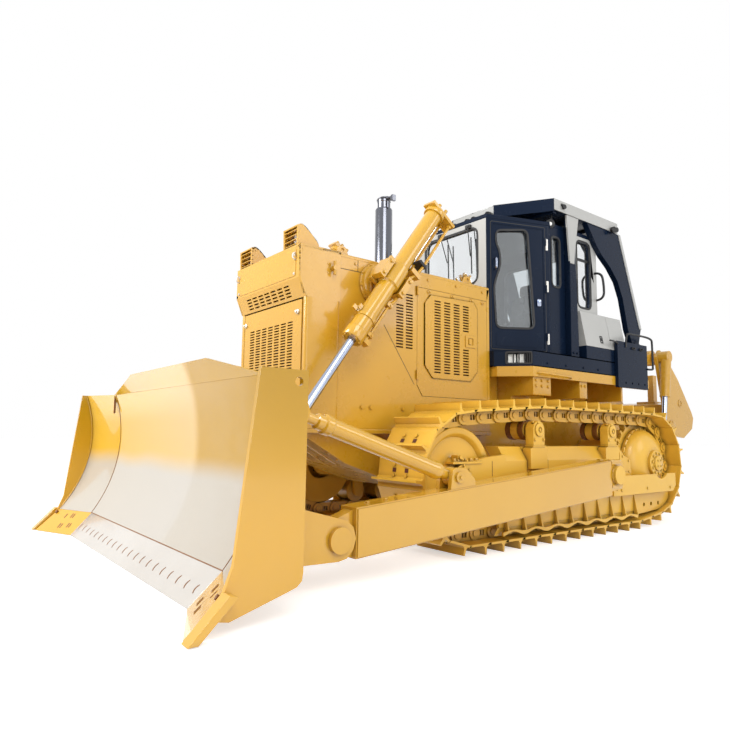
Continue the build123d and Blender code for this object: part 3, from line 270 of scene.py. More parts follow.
stack_steel = finish("stack_steel", (0.17, 0.175, 0.2), (0.08, 0.085, 0.1), 0.12, metal=1.0, ripple=0.002)
black_rubber = finish("black_rubber", (0.012, 0.012, 0.013), (0.02, 0.02, 0.02), 0.55, ripple=0.002)
# Painted shade: a dark reddish colour that stands for the shadow behind openings and slots.
inside_dark = finish("inside_dark", (0.1, 0.018, 0.008), (0.03, 0.01, 0.008), 0.5, drift=0.8, ripple=0.01)
engine_paint = finish("engine_paint", (0.1, 0.09, 0.07), (0.05, 0.05, 0.045), 0.4, drift=0.7, crease_shade_amount=0.6)
seat_cloth = finish("seat_cloth", (0.02, 0.021, 0.024), (0.035, 0.036, 0.04), 0.75, drift=0.6, ripple=0.006)
console_plastic = finish("console_plastic", (0.03, 0.032, 0.036), (0.05, 0.05, 0.055), 0.45, drift=0.4,
        ripple=0.004)
print("finishes:", len(bpy.data.materials))

# %% [markdown]
# Glass is a thin, slightly smoky pane that lets the room behind it show. The lamps have a clear ribbed
# lens over a bright reflector.

# %% Glass and lamp lens
def clear_finish(name, colour, roughness, ior, mirror=0.0):
    """Glass that stays clear for shadow rays, so that the inside of the cab is lit."""
    material, tree, shader = new_material(name)
    set_inputs(shader, Base_Color=(*colour, 1), Roughness=roughness, IOR=ior, Transmission_Weight=1.0,
            Metallic=mirror)
    see_through = add_node(tree, "ShaderNodeBsdfTransparent", Color=(*colour, 1))
    mixer = tree.nodes.new("ShaderNodeMixShader")
    rays = tree.nodes.new("ShaderNodeLightPath")
    for k, value in enumerate((rays.outputs["Is Shadow Ray"], shader.outputs[0], see_through.outputs[0])):
        tree.links.new(value, mixer.inputs[k])
    tree.links.new(mixer.outputs[0], tree.nodes["Material Output"].inputs["Surface"])
    return material


cab_pane = clear_finish("cab_pane", (0.86, 0.9, 0.92), 0.02, 1.45, mirror=0.12)
sky_pane = clear_finish("sky_pane", (0.92, 0.94, 0.95), 0.03, 1.45, mirror=0.8)
lamp_lens = clear_finish("lamp_lens", (0.97, 0.97, 0.95), 0.08, 1.35)
lamp_reflector = finish("lamp_reflector", (0.95, 0.94, 0.91), (0.9, 0.88, 0.82), 0.08, drift=0.1, metal=0.1,
        coat=1.0)
print("glass ready")

# %% [markdown]
# The imported solids keep their shapes, and each gets its finish. A small live bevel rounds the edges of the
# drawn pieces and of the imported solids that are copied and welded below, because a real plate edge catches
# the light and a perfectly sharp one does not.

# %% Finishes of the imported pieces
bodies = frame["record"]["behaviour"]["bodies"]
body_of_node = {name: body for body, names in bodies.items() for name in names}
finish_of_slot = {"paint_yellow": golden_paint, "paint_dark": navy_paint, "paint_grey": grey_paint,
        "track_paint": track_paint, "bare_steel": pale_steel, "chrome_rod": chrome,
        "exhaust_steel": stack_steel, "cab_glass": cab_pane, "core_dark": inside_dark,
        "engine_paint": engine_paint, "seat_cloth": seat_cloth, "console_plastic": console_plastic,
        "lamp_housing": golden_paint}


def round_edges(thing, width, sharp):
    """A live bevel on the sharp edges."""
    bevel = thing.modifiers.new("rounded_edges", "BEVEL")
    bevel.width, bevel.segments = width, 2
    bevel.limit_method, bevel.angle_limit = "ANGLE", radians(sharp)
    bevel.harden_normals, bevel.material = False, -1


for entry in frame["record"]["subparts"]:
    node = frame["nodes"][entry["node"]]
    node.data.materials.clear()
    node.data.materials.append(finish_of_slot[entry["material_slot"]])

# %% [markdown]
# New pieces are drawn with mesh operators. A plate starts as its outline, filled around its holes and
# drawn out to its thickness; a turned part is a profile spun about its axis; a bolt is a six-sided cone
# with equal ends. Every helper adds to the mesh it is given, so one piece can hold many plates and bolts.
# The line above a drawing function says what its mesh becomes: a piece drawn once, mirrored, or made for
# each side.

# %% Plates, turned parts and bars
up_axis = {"x": (1, 2, 0), "y": (0, 2, 1), "z": (0, 1, 2)}
forward, leftward, upright = (1, 0, 0), (0, 1, 0), (0, 0, 1)


def spot(axis, a, b, along):
    """A point from two coordinates of an outline and the distance along the axis it is drawn out on."""
    point = [0.0, 0.0, 0.0]
    for index, value in zip(up_axis[axis], (a, b, along)):
        point[index] = value
    return Vector(point)


def plate(bm, outline, axis, near, far, holes=()):
    """A flat plate with holes: an outline in the two other directions, drawn out from near to far."""
    loops = [[spot(axis, a, b, near) for a, b in loop] for loop in (outline, *holes)]
    corners = [bm.verts.new(point) for loop in loops for point in loop]
    if holes:
        faces = [bm.faces.new([corners[k] for k in three]) for three in tessellate_polygon(loops)]
    else:
        faces = [bm.faces.new(corners)]
    drawn = bmesh.ops.extrude_face_region(bm, geom=faces, use_keep_orig=True)["geom"]
    moved = [v for v in drawn if isinstance(v, bmesh.types.BMVert)]
    bmesh.ops.translate(bm, verts=moved, vec=spot(axis, 0, 0, far - near))


def box(bm, x, y, z):
    """A block between two corners; x, y and z are (low, high) pairs."""
    made = bmesh.ops.create_cube(bm, size=1.0)["verts"]
    bmesh.ops.scale(bm, verts=made, vec=(x[1] - x[0], y[1] - y[0], z[1] - z[0]))
    bmesh.ops.translate(bm, verts=made, vec=((x[0] + x[1]) / 2, (y[0] + y[1]) / 2, (z[0] + z[1]) / 2))
    return made


def bar(bm, start, end, radius, sides=20):
    """A round bar from one point to another."""
    start, end = Vector(start), Vector(end)
    turn = (end - start).to_track_quat("Z", "Y").to_matrix().to_4x4()
    return bmesh.ops.create_cone(bm, cap_ends=True, segments=sides, radius1=radius, radius2=radius,
            depth=(end - start).length, matrix=Matrix.Translation((start + end) / 2) @ turn)["verts"]


def turned(bm, profile, start, way=leftward, steps=48):
    """A lathe part: (distance along, radius) points spun about an axis."""
    start, way = Vector(start), Vector(way).normalized()
    out = way.orthogonal().normalized()
    points = [bm.verts.new(start + way * along + out * radius) for along, radius in profile]
    edges = [bm.edges.new(pair) for pair in zip(points, points[1:])]
    bmesh.ops.spin(bm, geom=points + edges, cent=start, axis=way, angle=2 * pi, steps=steps, use_merge=True)
    bmesh.ops.remove_doubles(bm, verts=bm.verts, dist=1e-5)


def symmetric(profile):
    """A lathe profile and its mirror image, from the first half's points."""
    return profile + [(-along, radius) for along, radius in reversed(profile)]


def bolt(bm, place, way, size=0.018, height=0.016, washer=True):
    """A hexagon head on a washer."""
    place, way = Vector(place), Vector(way).normalized()
    if washer:
        bar(bm, place, place + way * height * 0.25, size * 1.45, 12)
    bar(bm, place, place + way * height, size, 6)


def side_bolts(bm, places, y, size, height):
    """Bolts at (x, z) places of an upright face that looks to the left."""
    for x, z in places:
        bolt(bm, (x, y, z), leftward, size, height)


def ring_of_bolts(bm, place, way, reach, count, size=0.016, height=0.014, first=0.0):
    """Bolts evenly spaced round a flange."""
    way = Vector(way).normalized()
    out = way.orthogonal().normalized()
    for k in range(count):
        arm = Matrix.Rotation(first + 2 * pi * k / count, 3, way) @ out
        bolt(bm, Vector(place) + arm * reach, way, size, height)


def poured(bm, drawn, matrix=None):
    """Adds a mesh that was drawn by itself, moved to its place if a matrix is given."""
    if matrix:
        bmesh.ops.transform(drawn, verts=drawn.verts, matrix=matrix)
    copied = bpy.data.meshes.new("drawn_apart")
    drawn.to_mesh(copied)
    drawn.free()
    bm.from_mesh(copied)
    bpy.data.meshes.remove(copied)


def skinned(bm, rings):
    """A skin over rings of corners, closed at both ends."""
    for here, there in zip(rings, rings[1:]):
        for k in range(len(here)):
            bm.faces.new((here[k - 1], here[k], there[k], there[k - 1]))
    for ring in (rings[0], rings[-1]):
        bm.faces.new(ring)


def pipe(bm, points, radius):
    """A bent pipe or handrail through some points."""
    line = bpy.data.curves.new("bent_pipe", "CURVE")
    line.dimensions, line.use_fill_caps = "3D", True
    line.bevel_depth, line.bevel_resolution, line.resolution_u = radius, 3, 6
    run = line.splines.new("NURBS")
    run.points.add(len(points) - 1)
    for point, at in zip(run.points, points):
        point.co = (*at, 1)
    run.order_u, run.use_endpoint_u = 3, True
    holder = bpy.data.objects.new("bent_pipe", line)
    mesh = bpy.data.meshes.new_from_object(holder)
    bm.from_mesh(mesh)
    bpy.data.objects.remove(holder)
    bpy.data.meshes.remove(mesh)


def circle_points(a, b, radius, count=16):
    """Points round a circle, for an outline or a hole."""
    turns = [2 * pi * k / count for k in range(count)]
    return [(a + radius * cos(turn), b + radius * sin(turn)) for turn in turns]


def rounded(points, radius, steps=4):
    """The same outline with each corner rounded."""
    result = []
    for k, corner in enumerate(points):
        here = Vector(corner)
        before, after = Vector(points[k - 1]), Vector(points[(k + 1) % len(points)])
        reach = min(radius, (before - here).length * 0.45, (after - here).length * 0.45)
        start = here + (before - here).normalized() * reach
        end = here + (after - here).normalized() * reach
        for step in range(steps + 1):
            t = step / steps
            result.append(tuple(start * (1 - t) ** 2 + here * 2 * t * (1 - t) + end * t ** 2))
    return result


def frame_of(low, high, left, right_end, radius=0.0):
    """An upright rectangle as (across, up) points, with rounded corners if a radius is given."""
    corners = [(left, low), (right_end, low), (right_end, high), (left, high)]
    return rounded(corners, radius) if radius else corners


def grown(points, distance):
    """The same outline moved outwards all round; a negative distance moves it in."""
    middle = sum((Vector(p) for p in points), Vector((0, 0))) / len(points)
    result = []
    for k, corner in enumerate(points):
        here = Vector(corner)
        along = (Vector(points[(k + 1) % len(points)]) - Vector(points[k - 1])).normalized()
        out = Vector((along.y, -along.x))
        if out.dot(here - middle) < 0:
            out = -out
        result.append(tuple(here + out * distance))
    return result


def put_in_place(bm, drawn, origin, across, upward):
    """Moves what was drawn flat to its own plane and adds it to the mesh."""
    across, upward = Vector(across).normalized(), Vector(upward).normalized()
    turn = Matrix((across, upward, across.cross(upward))).transposed().to_4x4()
    poured(bm, drawn, Matrix.Translation(Vector(origin)) @ turn)


def panel(bm, origin, across, upward, outline, depth, holes=(), proud=0.0):
    """A plate on any plane, with its outer face on that plane and its depth behind it."""
    drawn = bmesh.new()
    plate(drawn, outline, "z", proud, proud - depth, holes)
    put_in_place(bm, drawn, origin, across, upward)


print("mesh helpers ready")


def mirrored(bm):
    """Adds the same shape on the other side of the machine."""
    bmesh.ops.mirror(bm, geom=bm.verts[:] + bm.edges[:] + bm.faces[:], axis="Y", merge_dist=-1)


def finished(name, bm, look, body, slot="", rounding=0.0, smooth=35, stands_for=()):
    """Turns a drawn mesh into a piece that rides on its body."""
    bmesh.ops.remove_doubles(bm, verts=bm.verts, dist=1e-6)
    bmesh.ops.recalc_face_normals(bm, faces=bm.faces)
    mesh = bpy.data.meshes.new(name)
    bm.to_mesh(mesh)
    bm.free()
    mesh.materials.append(look)
    mesh.shade_smooth()
    mesh.set_sharp_from_angle(angle=radians(smooth))
    thing = bpy.data.objects.new(name, mesh)
    bpy.context.scene.collection.objects.link(thing)
    if rounding:
        round_edges(thing, rounding, smooth)
    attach(thing, body)
    if stands_for:
        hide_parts(*stands_for)
    print(name, len(mesh.polygons), "faces on", body)
    return thing


def both_sides(name, look, body="chassis", **more):
    """One piece with the left-hand shape and its mirror image."""
    def make(draw):
        bm = bmesh.new()
        draw(bm)
        mirrored(bm)
        return finished(name, bm, look, body, **more)
    return make


def each_side(name, look, body="", stands_for=(), **more):
    """Two pieces, left and right, each on its own body."""
    def make(draw):
        for side, way in (("left", 1), ("right", -1)):
            bm = bmesh.new()
            draw(bm)
            bmesh.ops.scale(bm, verts=bm.verts, vec=(1, way, 1))
            finished(f"{name}_{side}", bm, look, f"{body}_{side}" if body else "chassis",
                    stands_for=[f"{node}_{side}" for node in stands_for], **more)
    return make


def one_piece(name, look, body="chassis", **more):
    """A piece drawn once, as it is."""
    def make(draw):
        bm = bmesh.new()
        draw(bm)
        return finished(name, bm, look, body, **more)
    return make


def clean_copy(node, name, look, rounding, before=None):
    """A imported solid's shape, its loose triangles merged to plain faces so that its edges can be rounded."""
    bm = bmesh.new()
    bm.from_mesh(frame["nodes"][node].data)
    bmesh.ops.remove_doubles(bm, verts=bm.verts, dist=1e-5)
    if before:
        before(bm)
    bmesh.ops.dissolve_limit(bm, angle_limit=radians(2), verts=bm.verts, edges=bm.edges)
    finished(name, bm, look, body_of_node[node], rounding=rounding, smooth=30, stands_for=[node])


print("piece helpers ready")

# %% [markdown]
# The track is one loop of forty-one shoes. On the real machine the links form a chain whose pins lie on
# the tightest line round the idler, the rollers and the sprocket. So the line is worked out first from
# the wheels, pin places are stepped along it, and then one shoe and one pair of links is drawn again at
# every step.

# %% The pin line
y0 = 1.07                    # half of the track gauge
idler_x, idler_z, sprocket_x, sprocket_z = 1.619, 0.645, -1.531, 0.706
carrier_xs, carrier_z = (0.628, -0.654), 1.06
wheels = ((-1.13, 0.327, 0.177), (idler_x, idler_z, 0.495), *((x, carrier_z, 0.15) for x in carrier_xs),
        (sprocket_x, sprocket_z, 0.496))
shoe_count, arc_steps = 41, 60
pin_on_ground_run = 0.032    # X of the pin nearest the middle of the ground run, so that the teeth mesh


def belt_line(circles):
    """Closely spaced points on the tightest line round some circles, going anticlockwise."""
    normals = []
    for (x, z, radius), (next_x, next_z, next_radius) in zip(circles, (*circles[1:], circles[0])):
        run = Vector((next_x - x, next_z - z))
        normals.append(atan2(run.y, run.x) - acos((radius - next_radius) / run.length))
    points = []
    for k, (x, z, radius) in enumerate(circles):
        start, end = normals[k - 1], normals[k]
        while end < start:
            end += 2 * pi
        for s in range(arc_steps + 1):
            turn = start + (end - start) * s / arc_steps
            points.append(Vector((x + radius * cos(turn), z + radius * sin(turn))))
    return points


def stepped(points, count, start_x):
    """Evenly spaced places along a closed line, one of them at start_x on the ground run."""
    legs = [(points[(k + 1) % len(points)] - p).length for k, p in enumerate(points)]
    pitch = sum(legs) / count
    begin = sum(legs[:arc_steps]) + start_x - points[arc_steps].x
    places = []
    for step in range(count):
        distance = (begin + step * pitch) % sum(legs)
        k = 0
        while distance > legs[k]:
            distance -= legs[k]
            k += 1
        places.append(points[k].lerp(points[(k + 1) % len(points)], distance / max(legs[k], 1e-9)))
    return places, pitch


pin_places, pitch = stepped(belt_line(wheels), shoe_count, pin_on_ground_run)
print("pitch", round(pitch, 4), "pins", len(pin_places))

# %% [markdown]
# A shoe is a rolled plate: its rear lip tucks under the next one, a tall grouser stands near one edge,
# and four bolts hold it to its links. A link is a forged bar with an eye at each end and a window between
# them, and a round pin end shows in each outer eye.

# %% Shoe and link shapes
shoe_half = 0.28
rail_near, rail_far, shoe_bolt_y = 0.047, 0.103, 0.076
plate_foot, plate_top, grouser_rise = 0.055, 0.074, 0.076


def shoe_outline(step):
    """The side view of one shoe, as (along the track, out from the pin line) points."""
    tall = 0.18 * step
    grouser = [(tall + 0.03, 0), (tall + 0.012, 0.016), (tall + 0.009, grouser_rise),
            (tall - 0.009, grouser_rise), (tall - 0.014, 0.016), (tall - 0.03, 0), (-0.03, 0)]
    foot = [(-0.03, plate_foot), (step - 0.012, plate_foot), (step + 0.012, plate_foot + 0.014),
            (step + 0.012, plate_top + 0.006), (step - 0.02, plate_top)]
    return foot + [(a, plate_top + b) for a, b in grouser]


def link_outline(step):
    """The side view of one link."""
    front = [(0.04, -0.062), (step - 0.05, -0.062), (step - 0.012, -0.052), (step + 0.012, -0.046)]
    return [(-0.038, 0.02), (-0.038, -0.022), (-0.02, -0.044), (0.008, -0.052), *front, (step + 0.03, -0.022),
            (step + 0.03, 0.02), (step + 0.012, plate_foot), (0.0, plate_foot)]


def draw_shoe(step, shift):
    """One shoe with its two links, pin and bolts, drawn in (along, across, out)."""
    unit = bmesh.new()
    plate(unit, shoe_outline(step), "y", -shoe_half, shoe_half)
    for side in (-1, 1):
        plate(unit, link_outline(step), "y", side * (rail_near + shift), side * (rail_far + shift),
                [frame_of(-0.02, 0.028, step * 0.4, step * 0.68)])
        for x in (0.47 * step, 0.61 * step):
            bar(unit, (x, side * 0.088, -0.03), (x, side * 0.088, 0.036), 0.0085, 6)
        lobe = [(0.062 * cos(t), 0.058 * sin(t)) for t in [radians(-75 + 30 * k) for k in range(12)]]
        plate(unit, lobe, "y", side * (rail_far - 0.01), side * (rail_far + 0.016))
        bar(unit, (0, side * rail_far, 0), (0, side * (rail_far + 0.024), 0), 0.027, 10)
        for x in (0.34 * step, 0.74 * step):
            bolt(unit, (x, side * shoe_bolt_y, plate_top), upright, 0.016, 0.013, washer=False)
    bar(unit, (0, -rail_near, 0), (0, rail_near, 0), 0.033, 12)
    return unit


def along_track():
    """For each shoe: its pin's place, the next pin's, and the directions along the track and out of it."""
    for k, here in enumerate(pin_places):
        there = pin_places[(k + 1) % shoe_count]
        along = (there - here).normalized()
        yield here, there, along, Vector((along.y, -along.x))


@each_side("track_chain", track_paint, stands_for=["track"])
def draw_track(bm):
    """All shoes, links, pins and bolts of the left track."""
    for k, (here, there, along, out) in enumerate(along_track()):
        turn = Matrix(((along.x, 0, out.x), leftward, (along.y, 0, out.y))).to_4x4()
        shoe = draw_shoe((there - here).length, 0.0 if k % 2 else 0.004)
        poured(bm, shoe, Matrix.Translation((here.x, y0, here.y)) @ turn)


@both_sides("shoe_windows", inside_dark, slot="track_paint")
def draw_shoe_windows(bm):
    """Painted shade: each small square opening between the bolts of each shoe is a dark patch laid on the
    plate.
    """
    for here, there, along, out in along_track():
        middle = here.lerp(there, 0.54) + out * (plate_top + 0.001)
        for y in (y0 - shoe_bolt_y, y0 + shoe_bolt_y):
            panel(bm, (middle.x, y, middle.y), (0, -1, 0), (along.x, 0, along.y),
                    frame_of(-0.017, 0.017, -0.02, 0.02), 0.003, [], 0.0005)


# %% [markdown]
# The wheels are turned parts, so each is a profile spun about its axis. The idler has a flange that runs
# between the links, two treads and a dished web; the rollers have a flange outside each rail.

# %% Idlers and rollers
@both_sides("idler_wheels", track_paint, stands_for=["idlers"])
def draw_idler(bm):
    turned(bm, [(-0.11, 0.16), (-0.11, 0.36), (-0.112, 0.375), (-0.112, 0.418), (-0.104, 0.426),
            (-0.044, 0.426), (-0.036, 0.446), (0.036, 0.446), (0.044, 0.426), (0.104, 0.426), (0.112, 0.418),
            (0.112, 0.375), (0.104, 0.362), (0.072, 0.34), (0.06, 0.2), (0.07, 0.17), (0.11, 0.16),
            (0.132, 0.15), (0.132, 0.0)], (idler_x, y0, idler_z), steps=64)
    ring_of_bolts(bm, (idler_x, y0 + 0.132, idler_z), leftward, 0.115, 8, 0.012, 0.012)


@both_sides("bottom_rollers", track_paint, stands_for=["track_rollers"])
def draw_rollers(bm):
    for k in range(6):
        turned(bm, symmetric([(-0.137, 0.0), (-0.137, 0.055), (-0.122, 0.085), (-0.122, 0.127),
                (-0.108, 0.127), (-0.104, 0.1115)]), (1.12 - k * 0.424, y0, 0.3275), steps=32)


@both_sides("top_rollers", track_paint, stands_for=["carrier_rollers"])
def draw_carriers(bm):
    tread = symmetric([(-0.108, 0.078), (-0.1, 0.0822), (-0.046, 0.0822), (-0.04, 0.096)])
    for x in carrier_xs:
        turned(bm, [(-0.108, 0.0), *tread, (0.108, 0.05), (0.137, 0.045), (0.137, 0.0)], (x, y0, carrier_z),
                steps=36)


# %% [markdown]
# The final drive hangs outside the sprocket: a bolted flange, a smooth dome and a small bolted cap. Its
# drum also reaches in to the hull behind the sprocket.

# %% Final drives and sprocket bolts
@both_sides("final_drive_domes", track_paint, stands_for=["final_drives"])
def draw_final_drive(bm):
    hub = (sprocket_x, y0, sprocket_z)
    turned(bm, [(0.45 - y0, 0.0), (0.45 - y0, 0.3), (-0.036, 0.3), (-0.036, 0.0)], hub)
    turned(bm, [(0.036, 0.0), (0.036, 0.392), (0.042, 0.4), (0.072, 0.4), (0.078, 0.388), (0.105, 0.38),
            (0.14, 0.358), (0.175, 0.318), (0.203, 0.262), (0.218, 0.21), (0.224, 0.16), (0.23, 0.15),
            (0.262, 0.148), (0.27, 0.14), (0.272, 0.088), (0.29, 0.082), (0.296, 0.072), (0.296, 0.0)], hub,
            steps=64)
    for out, reach, count, size, height in ((0.072, 0.394, 24, 0.012, 0.014),
            (0.271, 0.115, 10, 0.012, 0.012), (0.296, 0.048, 4, 0.009, 0.01)):
        ring_of_bolts(bm, (sprocket_x, y0 + out, sprocket_z), leftward, reach, count, size, height)


# %% [markdown]
# Air gets to the radiator and the engine through rows of short slots punched in the sheet. A slotted
# sheet is drawn as one face that is cut along every slot's edges; the slot cells are deleted and the rest
# gets the sheet's thickness. This keeps the slots as real holes, so they stay dark from every side.

# %% Slotted sheets
def rows_of(first, pitch, opening, count):
    """(low, high) pairs of evenly spaced openings."""
    return [(first + k * pitch, first + k * pitch + opening) for k in range(count)]


def within(values, pairs):
    """True if each value lies between some pair of its own list."""
    return all(any(low < value < high for low, high in some) for value, some in zip(values, pairs))


def slotted(bm, origin, across, upward, outline, columns, rows, thickness, closed=()):
    """A sheet in its own (across, up) coordinates with a slot wherever a column and a row meet."""
    sheet = bmesh.new()
    sheet.faces.new([sheet.verts.new((a, b, 0)) for a, b in outline])
    for pairs, way in ((columns, Vector(forward)), (rows, Vector(leftward))):
        for value in (edge for pair in pairs for edge in pair):
            bmesh.ops.bisect_plane(sheet, geom=sheet.verts[:] + sheet.edges[:] + sheet.faces[:],
                    plane_co=way * value, plane_no=way)
    gone = []
    for face in sheet.faces:
        middle = face.calc_center_median().xy
        covered = any(within(middle, ([shut[:2]], [shut[2:]])) for shut in closed)
        if within(middle, (columns, rows)) and not covered:
            gone.append(face)
    bmesh.ops.delete(sheet, geom=gone, context="FACES")
    drawn = bmesh.ops.extrude_face_region(sheet, geom=sheet.faces[:], use_keep_orig=True)["geom"]
    moved = [v for v in drawn if isinstance(v, bmesh.types.BMVert)]
    bmesh.ops.translate(sheet, verts=moved, vec=(0, 0, -thickness))
    put_in_place(bm, sheet, origin, across, upward)


print("slotted sheet ready")

# %% [markdown]
# The radiator housing is a welded shell: a rounded corner column each side, a mask with thirty-four rows
# of slots, and a brow that leans forward over it and carries a plain plate above four more rows. Behind
# the slots the core is a dark reddish shadow.

# %% Radiator housing
mask_x, brow_x, shell_back = 2.83, 2.895, 2.48
half, deck, brow_low, brow_high, roof = 0.6, 1.04, 2.15, 2.31, 2.6


@one_piece("radiator_housing", golden_paint, rounding=0.004, stands_for=["radiator_guard", "grille"])
def draw_housing(bm):
    for side in (-1, 1):
        column = rounded([(mask_x, side * 0.54), (mask_x, side * half), (shell_back, side * half),
                (shell_back, side * 0.54)], 0.045, 5)
        plate(bm, column, "z", deck, brow_low)
        cheek = [(shell_back, brow_low), (mask_x, brow_low), (brow_x, brow_high), (brow_x, roof),
                (shell_back, roof)]
        plate(bm, cheek, "y", side * half, side * (half - 0.03))
    box(bm, (shell_back, brow_x), (-half, half), (roof - 0.025, roof))
    box(bm, (brow_x - 0.02, brow_x), (-half, half), (brow_high, roof))
    box(bm, (shell_back, shell_back + 0.03), (-0.54, 0.54), (deck, roof - 0.02))
    slope = Vector((brow_x - mask_x, 0, brow_high - brow_low))
    columns = rows_of(-0.412, 0.118, 0.088, 7)
    slotted(bm, (mask_x, 0, brow_low), leftward, slope, frame_of(0, slope.length, -half, half), columns,
            rows_of(0.028, 0.03, 0.014, 4), 0.012)
    mask = frame_of(deck + 0.02, brow_low - 0.012, -0.528, 0.528)
    slotted(bm, (mask_x - 0.004, 0, 0), leftward, upright, mask, columns, rows_of(1.12, 0.0252, 0.0125, 34),
            0.014)
    plate(bm, frame_of(brow_high + 0.018, roof - 0.03, -0.528, 0.528, 0.02), "x", brow_x, brow_x + 0.004)


@one_piece("mask_fittings", pale_steel)
def draw_housing_fittings(bm):
    """Handles and latches on the mask, and bolts and grab loops on the brow."""
    for y in (-0.5, 0.47):
        turned(bm, [(0, 0.022), (0.012, 0.022), (0.018, 0.012), (0.03, 0.012), (0.034, 0)],
                (mask_x - 0.004, y, 2.035), forward, 16)
    for y in (-0.56, 0.52):
        for z in (2.515, 2.35):
            bolt(bm, (brow_x + 0.004, y * 0.97, z), forward, 0.009, 0.006)
        pipe(bm, [(brow_x + out, y, z) for out, z in ((0, 2.47), (0.03, 2.47), (0.03, 2.53), (0, 2.53))],
                0.007)


# %% [markdown]
# A lamp box stands on each side of the brow. Its roof arches down to the rear, and its open front has
# three louvre bars before a bright reflector and lens.

# %% Lamp boxes
@both_sides("lamp_housings", golden_paint, slot="lamp_housing", rounding=0.003, stands_for=["lamp_boxes"])
def draw_lamp_box(bm):
    y_in, y_out = 0.305, 0.548
    roof_line = [(brow_x - back, z) for back, z in ((-0.005, 2.773), (0.02, 2.784), (0.044, 2.786),
            (0.078, 2.77), (0.108, 2.745), (0.15, 2.706), (0.194, 2.667), (0.214, 2.635), (0.224, roof))]
    for near in (y_in, y_out - 0.012):
        plate(bm, [(brow_x, roof), *roof_line], "y", near, near + 0.012)
    for first, second in zip(roof_line, roof_line[1:]):
        plate(bm, [first, second, (second[0] + 0.008, second[1] - 0.01),
                (first[0] - 0.003, first[1] - 0.012)], "y", y_in, y_out)
    for z in (2.614, 2.656, 2.698, 2.74, 2.768):
        plate(bm, [(brow_x + 0.002, z), (brow_x - 0.045, z + 0.012), (brow_x - 0.047, z + 0.006),
                (brow_x, z - 0.006)], "y", y_in, y_out)
    for y in (y_in, y_out - 0.02):
        box(bm, (brow_x - 0.02, brow_x), (y, y + 0.02), (roof, 2.775))


@both_sides("front_lamp_lenses", lamp_lens)
def draw_lamp_glass(bm):
    plate(bm, frame_of(2.622, 2.738, 0.345, 0.505, 0.02), "x", brow_x - 0.066, brow_x - 0.06)


@both_sides("front_lamp_reflectors", lamp_reflector)
def draw_lamp_back(bm):
    plate(bm, frame_of(2.618, 2.742, 0.335, 0.515, 0.02), "x", brow_x - 0.1, brow_x - 0.09)
    turned(bm, [(0.0, 0.056), (0.01, 0.052), (-0.006, 0.02), (-0.006, 0)], (brow_x - 0.086, 0.425, 2.68),
            forward, 24)


# %% [markdown]
# The bonnet side is a large plain sheet with a fixed louvre panel behind the lift cylinder, a slanting
# seam, and a hinged door at the rear whose raised field has clipped corners and four columns of louvres.

# %% Bonnet sides
side_y, sheet_thick = 0.58, 0.03
door_back, door_ahead, door_foot, door_head = 0.533, 1.543, 1.371, 2.437
seam, sheet_end, bonnet_top = 0.004, -0.492, 2.565
side_face = ((0, side_y, 0), (-1, 0, 0), upright)


@both_sides("bonnet_sides", golden_paint, stands_for=["side_panels"])
def draw_bonnet_side(bm):
    """The fixed sheet, with the doorway left open, its seams and its fixed louvres."""
    back, ahead_x, low, high = seam - door_back, -door_ahead - seam, door_foot - seam, door_head + seam
    above = [(ahead_x, high), (back, high), (sheet_end, bonnet_top), (ahead_x, bonnet_top)]
    for shape in (frame_of(deck, low, -shell_back, sheet_end), frame_of(low, bonnet_top, back, sheet_end),
            above):
        slotted(bm, *side_face, shape, [], [], sheet_thick)
    slotted(bm, *side_face, frame_of(low, bonnet_top, -shell_back, ahead_x),
            [(-1.69, -1.6), (-1.812, -1.722)], rows_of(1.815, 0.0288, 0.0145, 19), 0.012,
            closed=[(-1.818, -1.715, 2.235, 2.4)])
    plate(bm, [(door_ahead - 0.066, low), (-ahead_x, low), (-ahead_x, door_foot + 0.1)], "y",
            side_y - sheet_thick, side_y)
    side_bolts(bm, [(x, 1.236) for x in (1.553, 1.723, 2.108, 2.209)], side_y, 0.017, 0.014)
    side_bolts(bm, [(x, 2.53) for x in (0.6, 1.0, 1.4, 1.9, 2.3)], side_y, 0.013, 0.01)


@both_sides("bonnet_seams", black_rubber)
def draw_bonnet_seams(bm):
    """The dark lines where sheets meet: the slanting one and the one under the bonnet's top."""
    strips = (((1.962, 2.01), (1.578, 1.474)), ((2.48, 2.459), (2.1, 2.46)), ((2.275, 2.565), (2.275, 2.462)),
            ((2.486, 2.6), (2.486, 1.05)))
    for (x0, z0), (x1, z1) in strips:
        run = Vector((x1 - x0, z1 - z0)).normalized() * 0.0025
        plate(bm, [(x0 - run.y, z0 + run.x), (x1 - run.y, z1 + run.x), (x1 + run.y, z1 - run.x),
                (x0 + run.y, z0 - run.x)], "y", side_y - 0.001, side_y + 0.0012)


